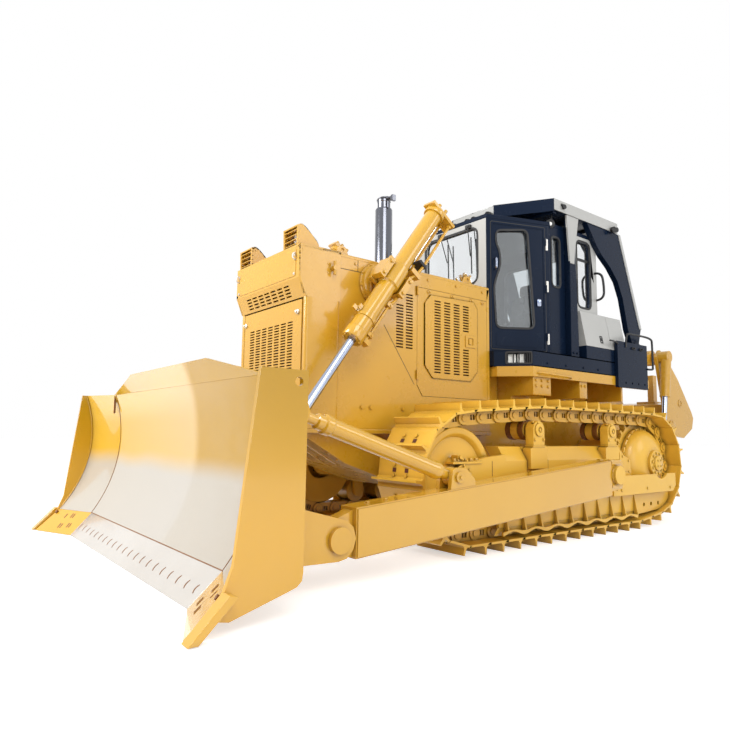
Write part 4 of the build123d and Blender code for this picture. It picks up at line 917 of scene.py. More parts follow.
@each_side("engine_door_skin", golden_paint, "engine_door", stands_for=["engine_door"])
def draw_engine_door(bm):
    """The hinged door: a flat sheet, a raised field with louvres, a latch and two hinges."""
    y = side_y
    door = [(door_back, door_foot), (door_ahead - 0.075, door_foot), (door_ahead, door_foot + 0.11),
            (door_ahead, door_head), (door_back, door_head)]
    field = [(0.8, 1.552), (1.345, 1.552), (1.452, 1.672), (1.452, 2.29), (1.378, 2.384), (0.745, 2.4),
            (0.69, 2.33), (0.69, 1.66)]
    plate(bm, door, "y", y - sheet_thick, y, holes=[field])
    slotted(bm, (0, y + 0.012, 0), (-1, 0, 0), upright, [(-x, z) for x, z in reversed(field)],
            [(-x - 0.088, -x) for x in (0.824, 0.962, 1.098, 1.234)], rows_of(1.606, 0.0286, 0.0145, 26),
            0.012, closed=[(-0.92, -0.8, 1.89, 2.052)])
    rim = [(x * 0.985 + 0.016, z * 0.985 + 0.03) for x, z in field]
    plate(bm, field, "y", y - 0.004, y + 0.012, holes=[rim])
    plate(bm, frame_of(1.905, 2.03, 0.72, 0.88, 0.012), "y", y + 0.008, y + 0.02,
            holes=[frame_of(1.93, 2.005, 0.765, 0.845, 0.01)])
    box(bm, (0.795, 0.83), (y + 0.004, y + 0.022), (1.94, 1.995))
    for z in (1.572, 2.4):
        bar(bm, (door_ahead + 0.006, y + 0.0123, z - 0.045), (door_ahead + 0.006, y + 0.0123, z + 0.045),
                0.012, 12)
    for x in (0.6, 0.78, 1.06, 1.39):
        turned(bm, [(0, 0.02), (0.006, 0.02), (0.012, 0.011), (0.024, 0.011), (0.026, 0.0)], (x, y, 2.41),
                steps=12)


# Painted shade: a dark reddish sheet just behind the door's louvres stands for the shadow inside the engine
# bay.
@each_side("engine_door_shade_sheet", inside_dark, "engine_door")
def draw_door_shade(bm):
    box(bm, (0.7, 1.44), (side_y - 0.055, side_y - 0.04), (1.56, 2.37))


# Painted shade: a dark reddish sheet just behind the fixed louvres stands for the shadow inside.
@both_sides("fixed_louvre_shade_sheet", inside_dark)
def draw_side_shade_sheet(bm):
    box(bm, (1.58, 1.83), (side_y - 0.055, side_y - 0.042), (1.8, 2.37))


# %% [markdown]
# The exhaust stack is a plain dark tube with a narrower neck. A hinged rain cap with a counterweight sits
# on the neck, and a flange is bolted to the bonnet's top.

# %% Exhaust and bonnet fittings
stack_x, stack_y = 1.668, 0.2


@one_piece("exhaust_stack", stack_steel, stands_for=["exhaust"])
def draw_exhaust(bm):
    turned(bm, [(0, 0.0), (0, 0.15), (0.012, 0.15), (0.014, 0.1), (0.05, 0.092), (0.06, 0.088), (0.69, 0.088),
            (0.704, 0.082), (0.712, 0.066), (0.776, 0.066), (0.78, 0.07), (0.797, 0.07), (0.801, 0.06),
            (0.7, 0.056), (0.7, 0.0)], (stack_x, stack_y, roof), upright, 40)


@one_piece("rain_cap", stack_steel, rounding=0.002)
def draw_rain_cap(bm):
    x, y, top = stack_x, stack_y, 3.403
    turned(bm, [(0, 0.0), (0, 0.072), (0.006, 0.076), (0.016, 0.07), (0.02, 0.0)], (x, y, top - 0.004),
            (0.0, -0.14, 1), 24)
    bar(bm, (x - 0.03, y + 0.085, top), (x + 0.03, y + 0.085, top), 0.014, 10)
    box(bm, (x - 0.012, x + 0.012), (y + 0.06, y + 0.15), (top - 0.012, top + 0.01))
    box(bm, (x - 0.022, x + 0.022), (y + 0.135, y + 0.165), (top - 0.05, top + 0.012))


@both_sides("lifting_eyes", golden_paint, rounding=0.003)
def draw_lift_eyes(bm):
    """Lifting eyes on the bonnet's edge and on the radiator housing's side."""
    for x, y in ((2.4, 0.5), (0.75, 0.5)):
        plate(bm, rounded([(x - 0.07, 2.6), (x + 0.07, 2.6), (x + 0.035, 2.69), (x - 0.035, 2.69)], 0.03),
                "y", y - 0.012, y + 0.012, holes=[circle_points(x, 2.655, 0.018, 10)])
        box(bm, (x - 0.09, x + 0.09), (y - 0.035, y + 0.035), (2.6, 2.612))
    x, z = 2.57, 2.43
    bar(bm, (x, side_y, z), (x, side_y + 0.075, z), 0.022, 16)
    ring_of_bolts(bm, (x, side_y + 0.012, z), leftward, 0.055, 4, 0.012, 0.012)
    turned(bm, [(0, 0.075), (0.012, 0.075), (0.014, 0.04), (0.02, 0.0)], (x, side_y, z), steps=24)
    bar(bm, (x, side_y + 0.06, z - 0.06), (x, side_y + 0.06, z + 0.06), 0.013, 12)


@one_piece("bonnet_top", golden_paint, rounding=0.003, stands_for=["hood"])
def draw_bonnet_top(bm):
    """The bonnet's top sheet, slightly proud over each side, and its filler caps."""
    plate(bm, [(-0.58, 2.565), (-0.58, 2.588), (-0.566, 2.6), (0.566, 2.6), (0.58, 2.588), (0.58, 2.565)],
            "x", 0.492, 2.48)
    turned(bm, [(0, 0.07), (0.02, 0.07), (0.028, 0.055), (0.05, 0.055), (0.054, 0)], (2.28, -0.12, 2.6),
            upright, 28)
    turned(bm, [(0, 0.11), (0.012, 0.11), (0.016, 0.085), (0.16, 0.085), (0.165, 0.12), (0.2, 0.12),
            (0.215, 0.1), (0.22, 0)], (1.15, -0.25, 2.6), upright, 32)


# %% [markdown]
# The cab is a six-sided shell of folded sheet. Each face is drawn flat, with its rounded windows cut, and
# then put on its plane; a rubber strip goes round each window and the pane lies in the middle of the
# sheet.

# %% Planes of the cab
cab_front_x, cab_corner_x, cab_rear_x = 0.49, -0.264, -1.215
cab_front_half, cab_half = 0.545, 0.825
cab_floor, cab_wall_top, wall_depth = 1.902, 3.4, 0.06
slant = Vector((cab_corner_x - cab_front_x, cab_half - cab_front_half, 0))
slant_origin = (cab_front_x, cab_front_half, 0)
slant_out = slant.normalized().cross(Vector(upright))
face_front = ((cab_front_x, 0, 0), leftward, upright)
face_slant = (slant_origin, slant, upright)
face_side = ((0, cab_half, 0), (-1, 0, 0), upright)
face_rear = ((cab_rear_x, 0, 0), (0, -1, 0), upright)

windshield = frame_of(2.69, 3.33, -0.42, 0.42, 0.1)
rear_pane = frame_of(2.56, 3.28, -0.56, 0.56, 0.1)
side_pane = frame_of(2.53, 3.345, 0.8, 1.08, 0.08)
narrow_pane = frame_of(2.7, 3.29, 0.305, 0.47, 0.06)
door_pane = rounded([(0.13, 3.27), (0.52, 3.316), (0.556, 2.78), (0.594, 2.19), (0.118, 2.17), (0.092, 2.64),
        (0.176, 2.88), (0.168, 3.03), (0.118, 3.14)], 0.075, 5)
print("door pane points", len(door_pane))


def on_face(face, along, level, proud=0.0):
    """A point on an upright face, from its front edge, its level and how far it stands out."""
    origin, across, _ = face
    across = Vector(across).normalized()
    return Vector(origin) + across * along + across.cross(Vector(upright)) * proud + Vector((0, 0, level))


def on_slant(along, level, proud=0.0):
    return on_face(face_slant, along, level, proud)


# %% Walls, door and their rubber strips
door_from, door_to, door_low, door_high = 0.061, 0.743, 1.941, 3.364
doorway = frame_of(door_low - 0.006, door_high + 0.006, door_from - 0.006, door_to + 0.006, 0.02)


def wall(bm, face, left, right_end, *holes):
    """One wall of the cab, from the floor to the roof."""
    panel(bm, *face, frame_of(cab_floor, cab_wall_top, left, right_end), wall_depth, holes)


# Painted reflection: the front wall is the cab's navy sheet, painted light grey to stand for the bright sky
# mirrored in it.
@one_piece("cab_front_wall", grey_paint, slot="paint_dark", rounding=0.004, stands_for=["cab_front"])
def draw_front_wall(bm):
    wall(bm, face_front, -cab_front_half, cab_front_half, windshield)


@both_sides("cab_door_frames", navy_paint, rounding=0.003, stands_for=["doorways"])
def draw_door_frame(bm):
    wall(bm, face_slant, 0.0, slant.length, doorway)
    bar(bm, (cab_corner_x, cab_half - 0.02, cab_floor), (cab_corner_x, cab_half - 0.02, cab_wall_top), 0.022,
            16)


@both_sides("cab_side_walls", navy_paint, rounding=0.003, stands_for=["cab_sides"])
def draw_side_wall(bm):
    wall(bm, face_side, -cab_corner_x, -cab_rear_x, side_pane, narrow_pane)


@both_sides("side_window_frames", grey_paint, rounding=0.002)
def draw_side_frame(bm):
    """The pale frame pressed round the rear side window."""
    panel(bm, *face_side, frame_of(2.44, 3.395, 0.745, 1.212, 0.03), 0.01, [grown(side_pane, 0.016)], 0.008)


@one_piece("cab_rear_wall", navy_paint, rounding=0.003, stands_for=["cab_rear"])
def draw_rear_wall(bm):
    wall(bm, face_rear, -cab_half, cab_half, rear_pane)


@each_side("cab_door_skin", navy_paint, "cab_door", rounding=0.002, stands_for=["cab_door"])
def draw_cab_door(bm):
    """The door: its sheet, the pressed line round its edge and the strip that covers the gap."""
    edge = frame_of(door_low, door_high, door_from, door_to, 0.018)
    panel(bm, *face_slant, edge, 0.045, [door_pane])
    inner_edge = frame_of(door_low + 0.022, door_high - 0.022, door_from + 0.022, door_to - 0.022, 0.01)
    panel(bm, *face_slant, edge, 0.008, [inner_edge], 0.006)
    panel(bm, *face_slant, frame_of(door_low + 0.03, 2.12, door_from + 0.05, door_to - 0.1, 0.03), 0.006, [],
            0.003)
    for level in (2.1, 2.65, 3.2):
        bar(bm, on_slant(0.748, level - 0.045, 0.012), on_slant(0.748, level + 0.045, 0.012), 0.012, 12)


def draw_strip(bm, plane, pane, proud=0.006):
    panel(bm, *plane, grown(pane, 0.012), 0.016, [grown(pane, -0.01)], proud)


@both_sides("side_window_strips", black_rubber)
def draw_fixed_strips(bm):
    draw_strip(bm, face_side, side_pane, 0.011)
    draw_strip(bm, face_side, narrow_pane)
    panel(bm, *face_side, frame_of(3.112, 3.14, 0.8, 1.08), 0.02, [], -0.015)
    panel(bm, *face_slant, grown(doorway, 0.004), 0.01, [grown(doorway, -0.006)], 0.001)


@one_piece("end_window_strips", black_rubber)
def draw_front_strips(bm):
    draw_strip(bm, face_front, windshield)
    draw_strip(bm, face_rear, rear_pane)


@each_side("door_window_strip", black_rubber, "cab_door")
def draw_door_strip(bm):
    draw_strip(bm, face_slant, door_pane, 0.008)


# %% Panes
def pane_in(bm, face, pane):
    """A pane in the middle of its wall's sheet."""
    panel(bm, *face, pane, 0.006, [], -0.025)


def side_panes(bm, pane):
    """The same pane on both sides of the cab."""
    for side in (-1, 1):
        pane_in(bm, ((0, side * cab_half, 0), (-side, 0, 0), upright), [(a * side, b) for a, b in pane])


@one_piece("cab_panes", cab_pane, stands_for=["cab_glass"])
def draw_end_panes(bm):
    pane_in(bm, face_rear, rear_pane)
    side_panes(bm, narrow_pane)


@one_piece("windshield_pane", sky_pane)
def draw_windshield(bm):
    """The windshield and the large rear side panes, which mirror the sky."""
    pane_in(bm, face_front, windshield)
    side_panes(bm, side_pane)


@each_side("door_pane", cab_pane, "cab_door", stands_for=["door_glass"])
def draw_door_pane(bm):
    pane_in(bm, face_slant, door_pane)

# %% Door furniture and wipers
@each_side("cab_door_handle", chrome, "cab_door")
def draw_door_handle(bm):
    """The upright grab handle and the lock."""
    pipe(bm, [on_slant(0.1, level, out) for level, out in ((2.945, 0.004), (2.945, 0.05), (2.885, 0.058),
            (2.825, 0.05), (2.825, 0.004))], 0.012)
    panel(bm, *face_slant, frame_of(2.445, 2.525, 0.628, 0.676, 0.012), 0.012, [], 0.018)
    turned(bm, [(0, 0.016), (0.014, 0.016), (0.016, 0.012), (0.016, 0)], on_slant(0.652, 2.5, 0.018),
            slant_out, 16)


@both_sides("cab_hinge_straps", pale_steel)
def draw_hinges(bm):
    """Pale hinge straps, fixed to the frame behind the door's rear edge."""
    for low, high in ((3.105, 3.235), (2.62, 2.745), (2.02, 2.14)):
        panel(bm, *face_slant, frame_of(low, high, 0.757, 0.785, 0.006), 0.006, [], 0.006)
        for level in (low + 0.025, high - 0.025):
            bolt(bm, on_slant(0.771, level, 0.006), slant_out, 0.008, 0.006)


@one_piece("wipers", black_rubber)
def draw_wipers(bm):
    """Two wipers hang from the head of the windshield."""
    x, head = cab_front_x + 0.03, 3.355
    for y, tip in ((0.3, 0.34), (-0.14, -0.02)):
        bar(bm, (cab_front_x, y, head), (x + 0.01, y, head), 0.016, 12)
        bar(bm, (x, y, head), (x, tip, 3.0), 0.006, 8)
        bar(bm, (x - 0.012, tip, 3.22), (x - 0.012, tip + 0.01, 2.8), 0.008, 6)
        box(bm, (cab_front_x, x), (y - 0.04, y + 0.03), (head - 0.02, head + 0.02))


# %% [markdown]
# The cab stands on a wide slanted base. A pair of lamps looks out of the slanted band behind three
# upright bars, so that face is drawn as a sheet with a window, and the lamps sit in a box behind it.

# %% Cab base with its lamps
def band(bm, corners, low, high, depth, holes=()):
    """A folded sheet round the left half, with its top; the slanted corner is drawn only if it has holes."""
    across = [Vector((b[0] - a[0], b[1] - a[1], 0)) for a, b in zip(corners, corners[1:])]
    for k, way in enumerate(across):
        if k != 1 or holes:
            panel(bm, (*corners[k], 0), way, upright, frame_of(low, high, 0, way.length), depth,
                    holes if k == 1 else ())
    plate(bm, corners, "z", high - depth, high)


base_low, base_half, base_front_half, base_corner, base_rear = 1.732, 0.95, 0.64, 0.23, -1.65
base_sheet = 0.012
base_line = [(cab_front_x, 0), (cab_front_x, base_front_half), (base_corner, base_half),
        (base_rear, base_half), (base_rear, 0)]
base_face = ((*base_line[1], 0), Vector((base_corner - cab_front_x, base_half - base_front_half, 0)), upright)
lamp_window = frame_of(1.762, 1.88, 0.128, 0.388, 0.012)
base_lamps = (0.19, 0.285)


@both_sides("cab_base_shell", navy_paint, rounding=0.003, stands_for=["cab_base"])
def draw_base(bm):
    band(bm, base_line, base_low, cab_floor, base_sheet, [lamp_window])
    plate(bm, base_line, "z", base_low, base_low + base_sheet)
    side_bolts(bm, [(x, base_low + 0.05) for x in (-0.02, -0.36, -0.7, -1.0, -1.42)], base_half, 0.012, 0.01)


@both_sides("base_lamp_bars", black_rubber)
def draw_base_bars(bm):
    """A dark lining with upright bars over its rear part."""
    panel(bm, *base_face, grown(lamp_window, 0.01), 0.012, [grown(lamp_window, -0.006)], 0.008)
    panel(bm, *base_face, grown(lamp_window, 0.02), 0.008, [], -0.08)
    for along in (0.145, 0.205, 0.262, 0.318, 0.345, 0.368):
        panel(bm, *base_face, frame_of(1.764, 1.878, along - 0.005, along + 0.005), 0.05, [], 0.002)


@both_sides("base_lamp_reflectors", lamp_reflector)
def draw_base_lamp_backs(bm):
    for along in base_lamps:
        panel(bm, *base_face, frame_of(1.775, 1.865, along - 0.04, along + 0.04, 0.012), 0.01, [], -0.05)


@both_sides("base_lamp_lenses", lamp_lens)
def draw_base_lamp_glass(bm):
    for along in base_lamps:
        panel(bm, *base_face, frame_of(1.772, 1.868, along - 0.043, along + 0.043, 0.012), 0.006, [], -0.03)


# %% [markdown]
# The canopy is a thick folded tray on two posts and two raked legs. Its front and side fascias are light
# grey, the slanted corners and its underside are navy, and small round work lamps sit at the ends of the
# grey parts.

# %% Canopy
canopy_low, canopy_high = 3.57, 3.7
canopy_front_x, canopy_front_half, canopy_corner, canopy_half, canopy_rear = 0.105, 0.33, -0.25, 0.915, -1.59
canopy_line = [(canopy_front_x, 0), (canopy_front_x, canopy_front_half), (canopy_corner, canopy_half),
        (canopy_rear, canopy_half), (canopy_rear, 0)]


@both_sides("canopy_grey", grey_paint, rounding=0.003, stands_for=["canopy"])
def draw_grey_fascia(bm):
    """The pale front edge, the pale side edges and the top."""
    band(bm, canopy_line, canopy_low, canopy_high, 0.012)


@both_sides("canopy_navy", navy_paint, rounding=0.003)
def draw_navy_fascia(bm):
    run = Vector((canopy_corner - canopy_front_x, canopy_half - canopy_front_half, 0))
    strip = frame_of(canopy_low - 0.02, canopy_high, 0.0, run.length)
    panel(bm, (canopy_front_x, canopy_front_half, 0), run, upright, strip, 0.012, [], 0.002)
    under = [(canopy_front_x - 0.014, 0), (canopy_front_x - 0.014, canopy_front_half - 0.01),
            (canopy_corner - 0.005, canopy_half - 0.016), (canopy_rear + 0.014, canopy_half - 0.016),
            (canopy_rear + 0.014, 0)]
    plate(bm, under, "z", canopy_low, canopy_low + 0.012)
    for x in (-0.3, -0.75, -1.2):
        box(bm, (x - 0.03, x + 0.03), (0, canopy_half - 0.03), (canopy_low - 0.03, canopy_low))


corner_lamp, corner_lamp_way = (-0.34, 0.8, 3.44), (0.9, 0.5, -0.2)


@both_sides("canopy_lamps", black_rubber)
def draw_small_lamps(bm):
    """Dark lamp bodies: two under the front, three on the side and one beneath the corner."""
    for place, way, radius, depth in (
            ((canopy_front_x, 0.27, 3.6), (1, 0.1, -0.25), 0.038, 0.05),
            ((canopy_front_x, 0.05, 3.6), (1, 0.1, -0.25), 0.038, 0.05),
            ((-0.42, canopy_half, 3.63), (0.2, 1, 0), 0.026, 0.03),
            ((-1.44, canopy_half, 3.585), (0.2, 1, -0.1), 0.036, 0.05),
            ((-1.52, canopy_half, 3.6), (0.2, 1, -0.1), 0.03, 0.04),
            (corner_lamp, corner_lamp_way, 0.05, 0.06)):
        turned(bm, [(0, 0.0), (0, radius * 0.5), (depth * 0.3, radius), (depth, radius * 1.04),
                (depth * 1.05, radius * 0.9), (depth * 0.8, 0.0)], place, way, 24)
    box(bm, (-0.46, -0.38), (canopy_half, canopy_half + 0.012), (3.64, 3.665))
    bar(bm, corner_lamp, (-0.36, 0.8, 3.57), 0.01, 8)


@both_sides("canopy_lamp_faces", lamp_reflector)
def draw_small_glass(bm):
    turned(bm, [(0.047, 0.0), (0.05, 0.04), (0.053, 0.04), (0.058, 0)], corner_lamp, corner_lamp_way, 24)


# %% Posts and legs
post_in, post_out = 0.83, 0.9
leg_inner = [(-0.93, canopy_low), (-1.12, 3.33), (-1.244, 3.22), (-1.42, 3.105), (-1.584, 2.951),
        (-1.69, 2.75), (-1.793, 2.358)]
leg_foot, leg_head = (-2.11, 2.396), (-1.66, canopy_low)


@both_sides("canopy_legs", navy_paint, rounding=0.004, stands_for=["canopy_posts"])
def draw_posts(bm):
    """The raked leg with its curved gusset and pinned foot, and the straight post."""
    foot = [(-1.9, 2.161), (-1.9, base_low), (-2.04, base_low), (-2.04, 2.161)]
    plate(bm, leg_inner + foot + [leg_foot, leg_head], "y", post_in, post_out)
    plate(bm, [(-0.7, cab_floor), (-0.545, cab_floor), (-0.56, 3.25), (-0.56, canopy_low),
            (-0.69, canopy_low), (-0.67, 3.25)], "y", post_in, post_out)
    plate(bm, rounded([(-1.86, 2.16), (-1.86, 2.02), (-2.08, 2.02), (-2.08, 2.16), (-1.97, 2.23)], 0.05), "y",
            post_out, post_out + 0.02, [circle_points(-1.97, 2.12, 0.03, 12)])
    bar(bm, (-1.97, post_in - 0.03, 2.12), (-1.97, post_out + 0.045, 2.12), 0.03, 20)
    side_bolts(bm, [(x, cab_floor + 0.05) for x in (-0.655, -0.59)], post_out, 0.012, 0.012)


@both_sides("canopy_leg_edges", grey_paint, rounding=0.002)
def draw_post_edges(bm):
    """The pale flange down the outer edge of the leg, the pale gusset and edge of the post."""
    (x0, z0), (x1, z1) = leg_foot, leg_head
    plate(bm, [(x1 + 0.045, z1), (x0 + 0.045, z0), (x0 - 0.004, z0), (x1 - 0.004, z1)], "y", post_out - 0.002,
            post_out + 0.01)
    plate(bm, [(x1 - 0.004, z1), (x0 - 0.004, z0), (x0 + 0.002, z0), (x1 + 0.004, z1)], "y", post_in,
            post_out)
    plate(bm, [(-0.505, z1), (-0.745, z1), (-0.665, 3.2), (-0.64, 3.0), (-0.56, 3.0)], "y", post_out - 0.02,
            post_out + 0.004)


# %% [markdown]
# Behind the door two pale covers lean against the cab: the first is a lid with a flush square latch, the
# second is fixed. Under them is the navy box, and behind them the step plate with its handrails.

# %% Covers, boxes and steps
for node, name, look, rounding in (
        ("side_lid_left", "side_lid_skin_left", grey_paint, 0.006),
        ("side_lid_right", "side_lid_skin_right", grey_paint, 0.006),
        ("rear_covers", "rear_cover_skins", grey_paint, 0.006),
        ("side_boxes", "side_box_skins", navy_paint, 0.004),
        ("step_plates", "step_plate_skins", navy_paint, 0.005),
        ("fuel_tank", "fuel_tank_skin", navy_paint, 0.025),
        ("cab_roof", "cab_roof_skin", navy_paint, 0.008),
        ("fenders", "fender_skins", golden_paint, 0.005)):
    clean_copy(node, name, look, rounding)


@each_side("side_lid_latch", black_rubber, "side_lid")
def draw_lid_latch(bm):
    """A flush square latch in the sloping lid."""
    lid = ((-1.115, 0.95, 2.051), (-1, 0, 0), (0, -0.078, 0.419))
    recess = frame_of(0.074, 0.136, -0.016, 0.016, 0.005)
    panel(bm, *lid, frame_of(0.06, 0.15, -0.028, 0.028, 0.008), 0.004, [recess], 0.004)
    panel(bm, *lid, frame_of(0.088, 0.124, -0.012, 0.012), 0.004, [], 0.003)


@both_sides("handrails", black_rubber, smooth=60)
def draw_rails(bm):
    """Handrails above the step plate, and the grab handle on the cab's rear edge."""
    y = 1.0
    pipe(bm, [(x, y, z) for x, z in ((-1.545, 2.1), (-1.545, 2.274), (-1.7, 2.276), (-2.179, 2.277),
            (-2.19, 2.2), (-2.19, 1.9), (-2.19, 1.863), (-2.05, 1.863))], 0.013)
    pipe(bm, [(x, y, z) for x, z in ((-1.188, 2.15), (-1.36, 2.15), (-1.36, 2.12))], 0.01)
    pipe(bm, [(-1.165, 0.83, 2.993), (-1.165, 0.93, 2.993), (-1.185, 0.945, 2.83), (-1.205, 0.93, 2.664),
            (-1.205, 0.83, 2.664)], 0.014)
    for x in (-1.72, -1.9):
        bar(bm, (x, 0.996, 2.1), (x, 1.03, 2.1), 0.01, 10)
        box(bm, (x - 0.035, x + 0.035), (0.995, 1.008), (2.085, 2.115))


# %% Fenders
@both_sides("fender_fittings", golden_paint, smooth=50)
def draw_fender_fittings(bm):
    """Bolts through the brackets, and a grab rail under the skirt."""
    edge = 0.955
    places = [(x, z) for x in (-0.05, 0.06, 0.16) for z in (1.59, 1.53)] + [(-0.68, 1.575), (-0.75, 1.575)]
    side_bolts(bm, places, edge - 0.025, 0.014, 0.012)
    pipe(bm, [(0.16, edge, 1.665), (0.14, edge + 0.05, 1.665), (-0.05, edge + 0.05, 1.655),
            (-0.42, edge + 0.05, 1.65), (-0.44, edge, 1.65)], 0.011)


# %% [markdown]
# The blade is one curved plate that bends forward at both wings. On the real machine the middle and the
# wings are rolled alike and welded at the bends. So its section is drawn once and placed at four
# stations: the two ends and the two bends, where the section is mitred. The front is drawn finely,
# because its gloss shows every facet.

# %% The blade's line and paint
edge_x, bend_y, wing_turn = 3.909, 1.5, radians(23.5)
plate_inside, blade_half, blade_top, edge_top = 1.955, 1.985, 1.355, 0.2
sheet = 0.04


def blade_spot(station, offset, level):
    """A point of the section at one of four stations, from the right end plate to the left one."""
    side = -1 if station < 2 else 1
    if station in (1, 2):
        return Vector((edge_x + offset, side * (bend_y - offset * tan(wing_turn / 2)), level))
    run = (plate_inside - bend_y + offset * sin(wing_turn)) / cos(wing_turn)
    return Vector((edge_x + run * sin(wing_turn) + offset * cos(wing_turn), side * plate_inside, level))


def swept(bm, section, stations=(0, 1, 2, 3)):
    """A closed section of (offset, level) points drawn along the blade's line."""
    skinned(bm, [[bm.verts.new(blade_spot(k, *point)) for point in section] for k in stations])


def arc(first, middle, last, steps=28, before=0):
    """Points on the circle through three points; before adds some ahead of the first."""
    a, b, c = Vector(first), Vector(middle), Vector(last)
    u, v = b - a, c - a
    centre = a + Vector((v.y * u.length_squared - u.y * v.length_squared,
            u.x * v.length_squared - v.x * u.length_squared)) / (2 * (u.x * v.y - u.y * v.x))
    half_way = atan2(b.y - centre.y, b.x - centre.x)
    start, end = [(atan2(p.y - centre.y, p.x - centre.x) - half_way + pi) % (2 * pi) - pi for p in (a, c)]
    turns = [half_way + start + (end - start) * s / steps for s in range(-before, steps + 1)]
    return [tuple(centre + (a - centre).length * Vector((cos(turn), sin(turn)))) for turn in turns]


face_points = (-0.175, blade_top), (-0.237, 0.78), (0.0, edge_top)
front_arc = arc(*face_points)
rear_arc = arc((-sheet, edge_top - 0.025), (-0.277, 0.78), (-0.215, blade_top), 14)


def reflection_painted(name, colour, deep, painted_reflection_colour, top, foot, dark_reflection_colour=None, coat=1.0):
    """Gloss paint with painted reflections: below a level it turns to a paler painted reflection colour, and
    its left third can take a darker painted reflection.
    """
    material = finish(name, colour, deep, 0.1, drift=0.25, coat=coat, coat_roughness=0.015, ripple=0.001,
            crease_shade_amount=0.35)
    tree = material.node_tree
    shader = set_inputs(tree.nodes["Principled BSDF"], Coat_IOR=1.6)
    place = add_node(tree, "ShaderNodeTexCoord").outputs["Object"]
    split = split_up(tree, place)
    wave = multiply(tree, noise(tree, place, 1.1, 1.0), 0.1)
    # Painted reflection: the share of the pale reflected colour, growing towards the bottom.
    low_reflection_share = ramp(tree, maths(tree, "ADD", split["Z"], wave), top, foot, "SMOOTHSTEP")
    painted = shader.inputs["Base Color"].links[0].from_socket
    # Painted reflection: a darker band on the left third stands for what the face mirrors there.
    if dark_reflection_colour:
        side = maths(tree, "ADD", split["Y"], multiply(tree, wave, 1.2))
        near = ramp(tree, side, 0.42, 0.58, "SMOOTHSTEP")
        painted = blend_colour(tree, near, painted, dark_reflection_colour)
        tree.links.new(maths(tree, "SUBTRACT", 1.0, near), shader.inputs["Coat Weight"])
    tree.links.new(blend_colour(tree, low_reflection_share, painted, painted_reflection_colour), shader.inputs["Base Color"])
    return material


blade_paint = finish("blade_paint", (0.64, 0.35, 0.022), (0.54, 0.27, 0.014), 0.14, coat=0.7,
        coat_roughness=0.03, crease_shade_amount=0.4, ripple=0.002)
# Painted reflection: the face turns grey-white towards its foot, where it mirrors the bright floor, and deeper
# gold on its left third.
face_paint = reflection_painted("blade_face_paint", (0.58, 0.34, 0.028), (0.54, 0.3, 0.022), (0.42, 0.38, 0.32), 0.88,
        0.68, dark_reflection_colour=(0.42, 0.232, 0.006))
# Painted light: the end plate is a darker gold at the top and turns lighter towards its foot.
plate_paint = reflection_painted("end_plate_paint", (0.45, 0.245, 0.008), (0.41, 0.215, 0.006), (0.62, 0.33, 0.02),
        1.45, 0.45, coat=0.5)
# Partly painted reflection: the pale steel colour also stands for the bright floor mirrored along the edge.
edge_steel_and_sheen = finish("edge_steel_and_sheen", (0.58, 0.55, 0.51), (0.5, 0.46, 0.41), 0.16, drift=0.6, metal=0.35,
        coat=0.5, crease_shade_amount=0.35, ripple=0.002)
slot_brown = finish("slot_brown", (0.2, 0.075, 0.012), (0.1, 0.035, 0.008), 0.5)
print("front arc points:", len(front_arc))

# %% Blade face, end plates and the guard over the top
guard_top, guard_foot, guard_head = 1.53, 1.62, 0.86


@one_piece("blade_face", face_paint, "blade_frame", rounding=0.002)
def draw_face(bm):
    """The rolled plate with its two wings, and the guard that carries the middle of it higher."""
    swept(bm, front_arc + rear_arc)
    line = [point for point in arc(*face_points, before=6) if blade_top - 0.03 < point[1] < guard_top]
    rings = []
    for away, level in line:
        share = max(0.0, (level - blade_top) / (line[0][1] - blade_top))
        half = guard_foot + (guard_head - guard_foot) * share
        corners = (-half, 0.0006), (half, 0.0006), (half, -0.024), (-half, -0.024)
        rings.append([bm.verts.new((edge_x + away + depth, y, level)) for y, depth in corners])
    skinned(bm, rings)


back, lift_eye_y, arm_mid = edge_x - 0.33, 0.81, 1.52
# Each ear: its outline, middle, near and far side, and its pin's place, length, radius and count of sides.
blade_ears = (([(back + 0.06, 0.42), (back + 0.06, 1.18), (back - 0.06, 1.18), (3.216, 0.82), (3.205, 0.76),
        (3.205, 0.69), (3.225, 0.64), (3.326, 0.6), (back, 0.42)], lift_eye_y, 0.055, 0.085, (3.286, 0.72),
        0.022, 0.06, 28), ([(back + 0.08, 0.23), (back + 0.08, 0.59), (3.174, 0.457), (3.11, 0.44),
        (3.06, 0.395), (3.039, 0.322), (3.06, 0.25), (3.11, 0.2), (3.174, 0.187), (back, 0.195)], arm_mid,
        0.05, 0.11, (3.174, 0.322), 0.03, 0.085, 28), ([(back + 0.08, 1.067), (back + 0.08, 1.247),
        (3.47, 1.212), (3.415, 1.192), (3.396, 1.137), (3.415, 1.08), (3.47, 1.062)], arm_mid, 0.045, 0.083,
        (3.47, 1.137), 0.016, 0.04, 20))


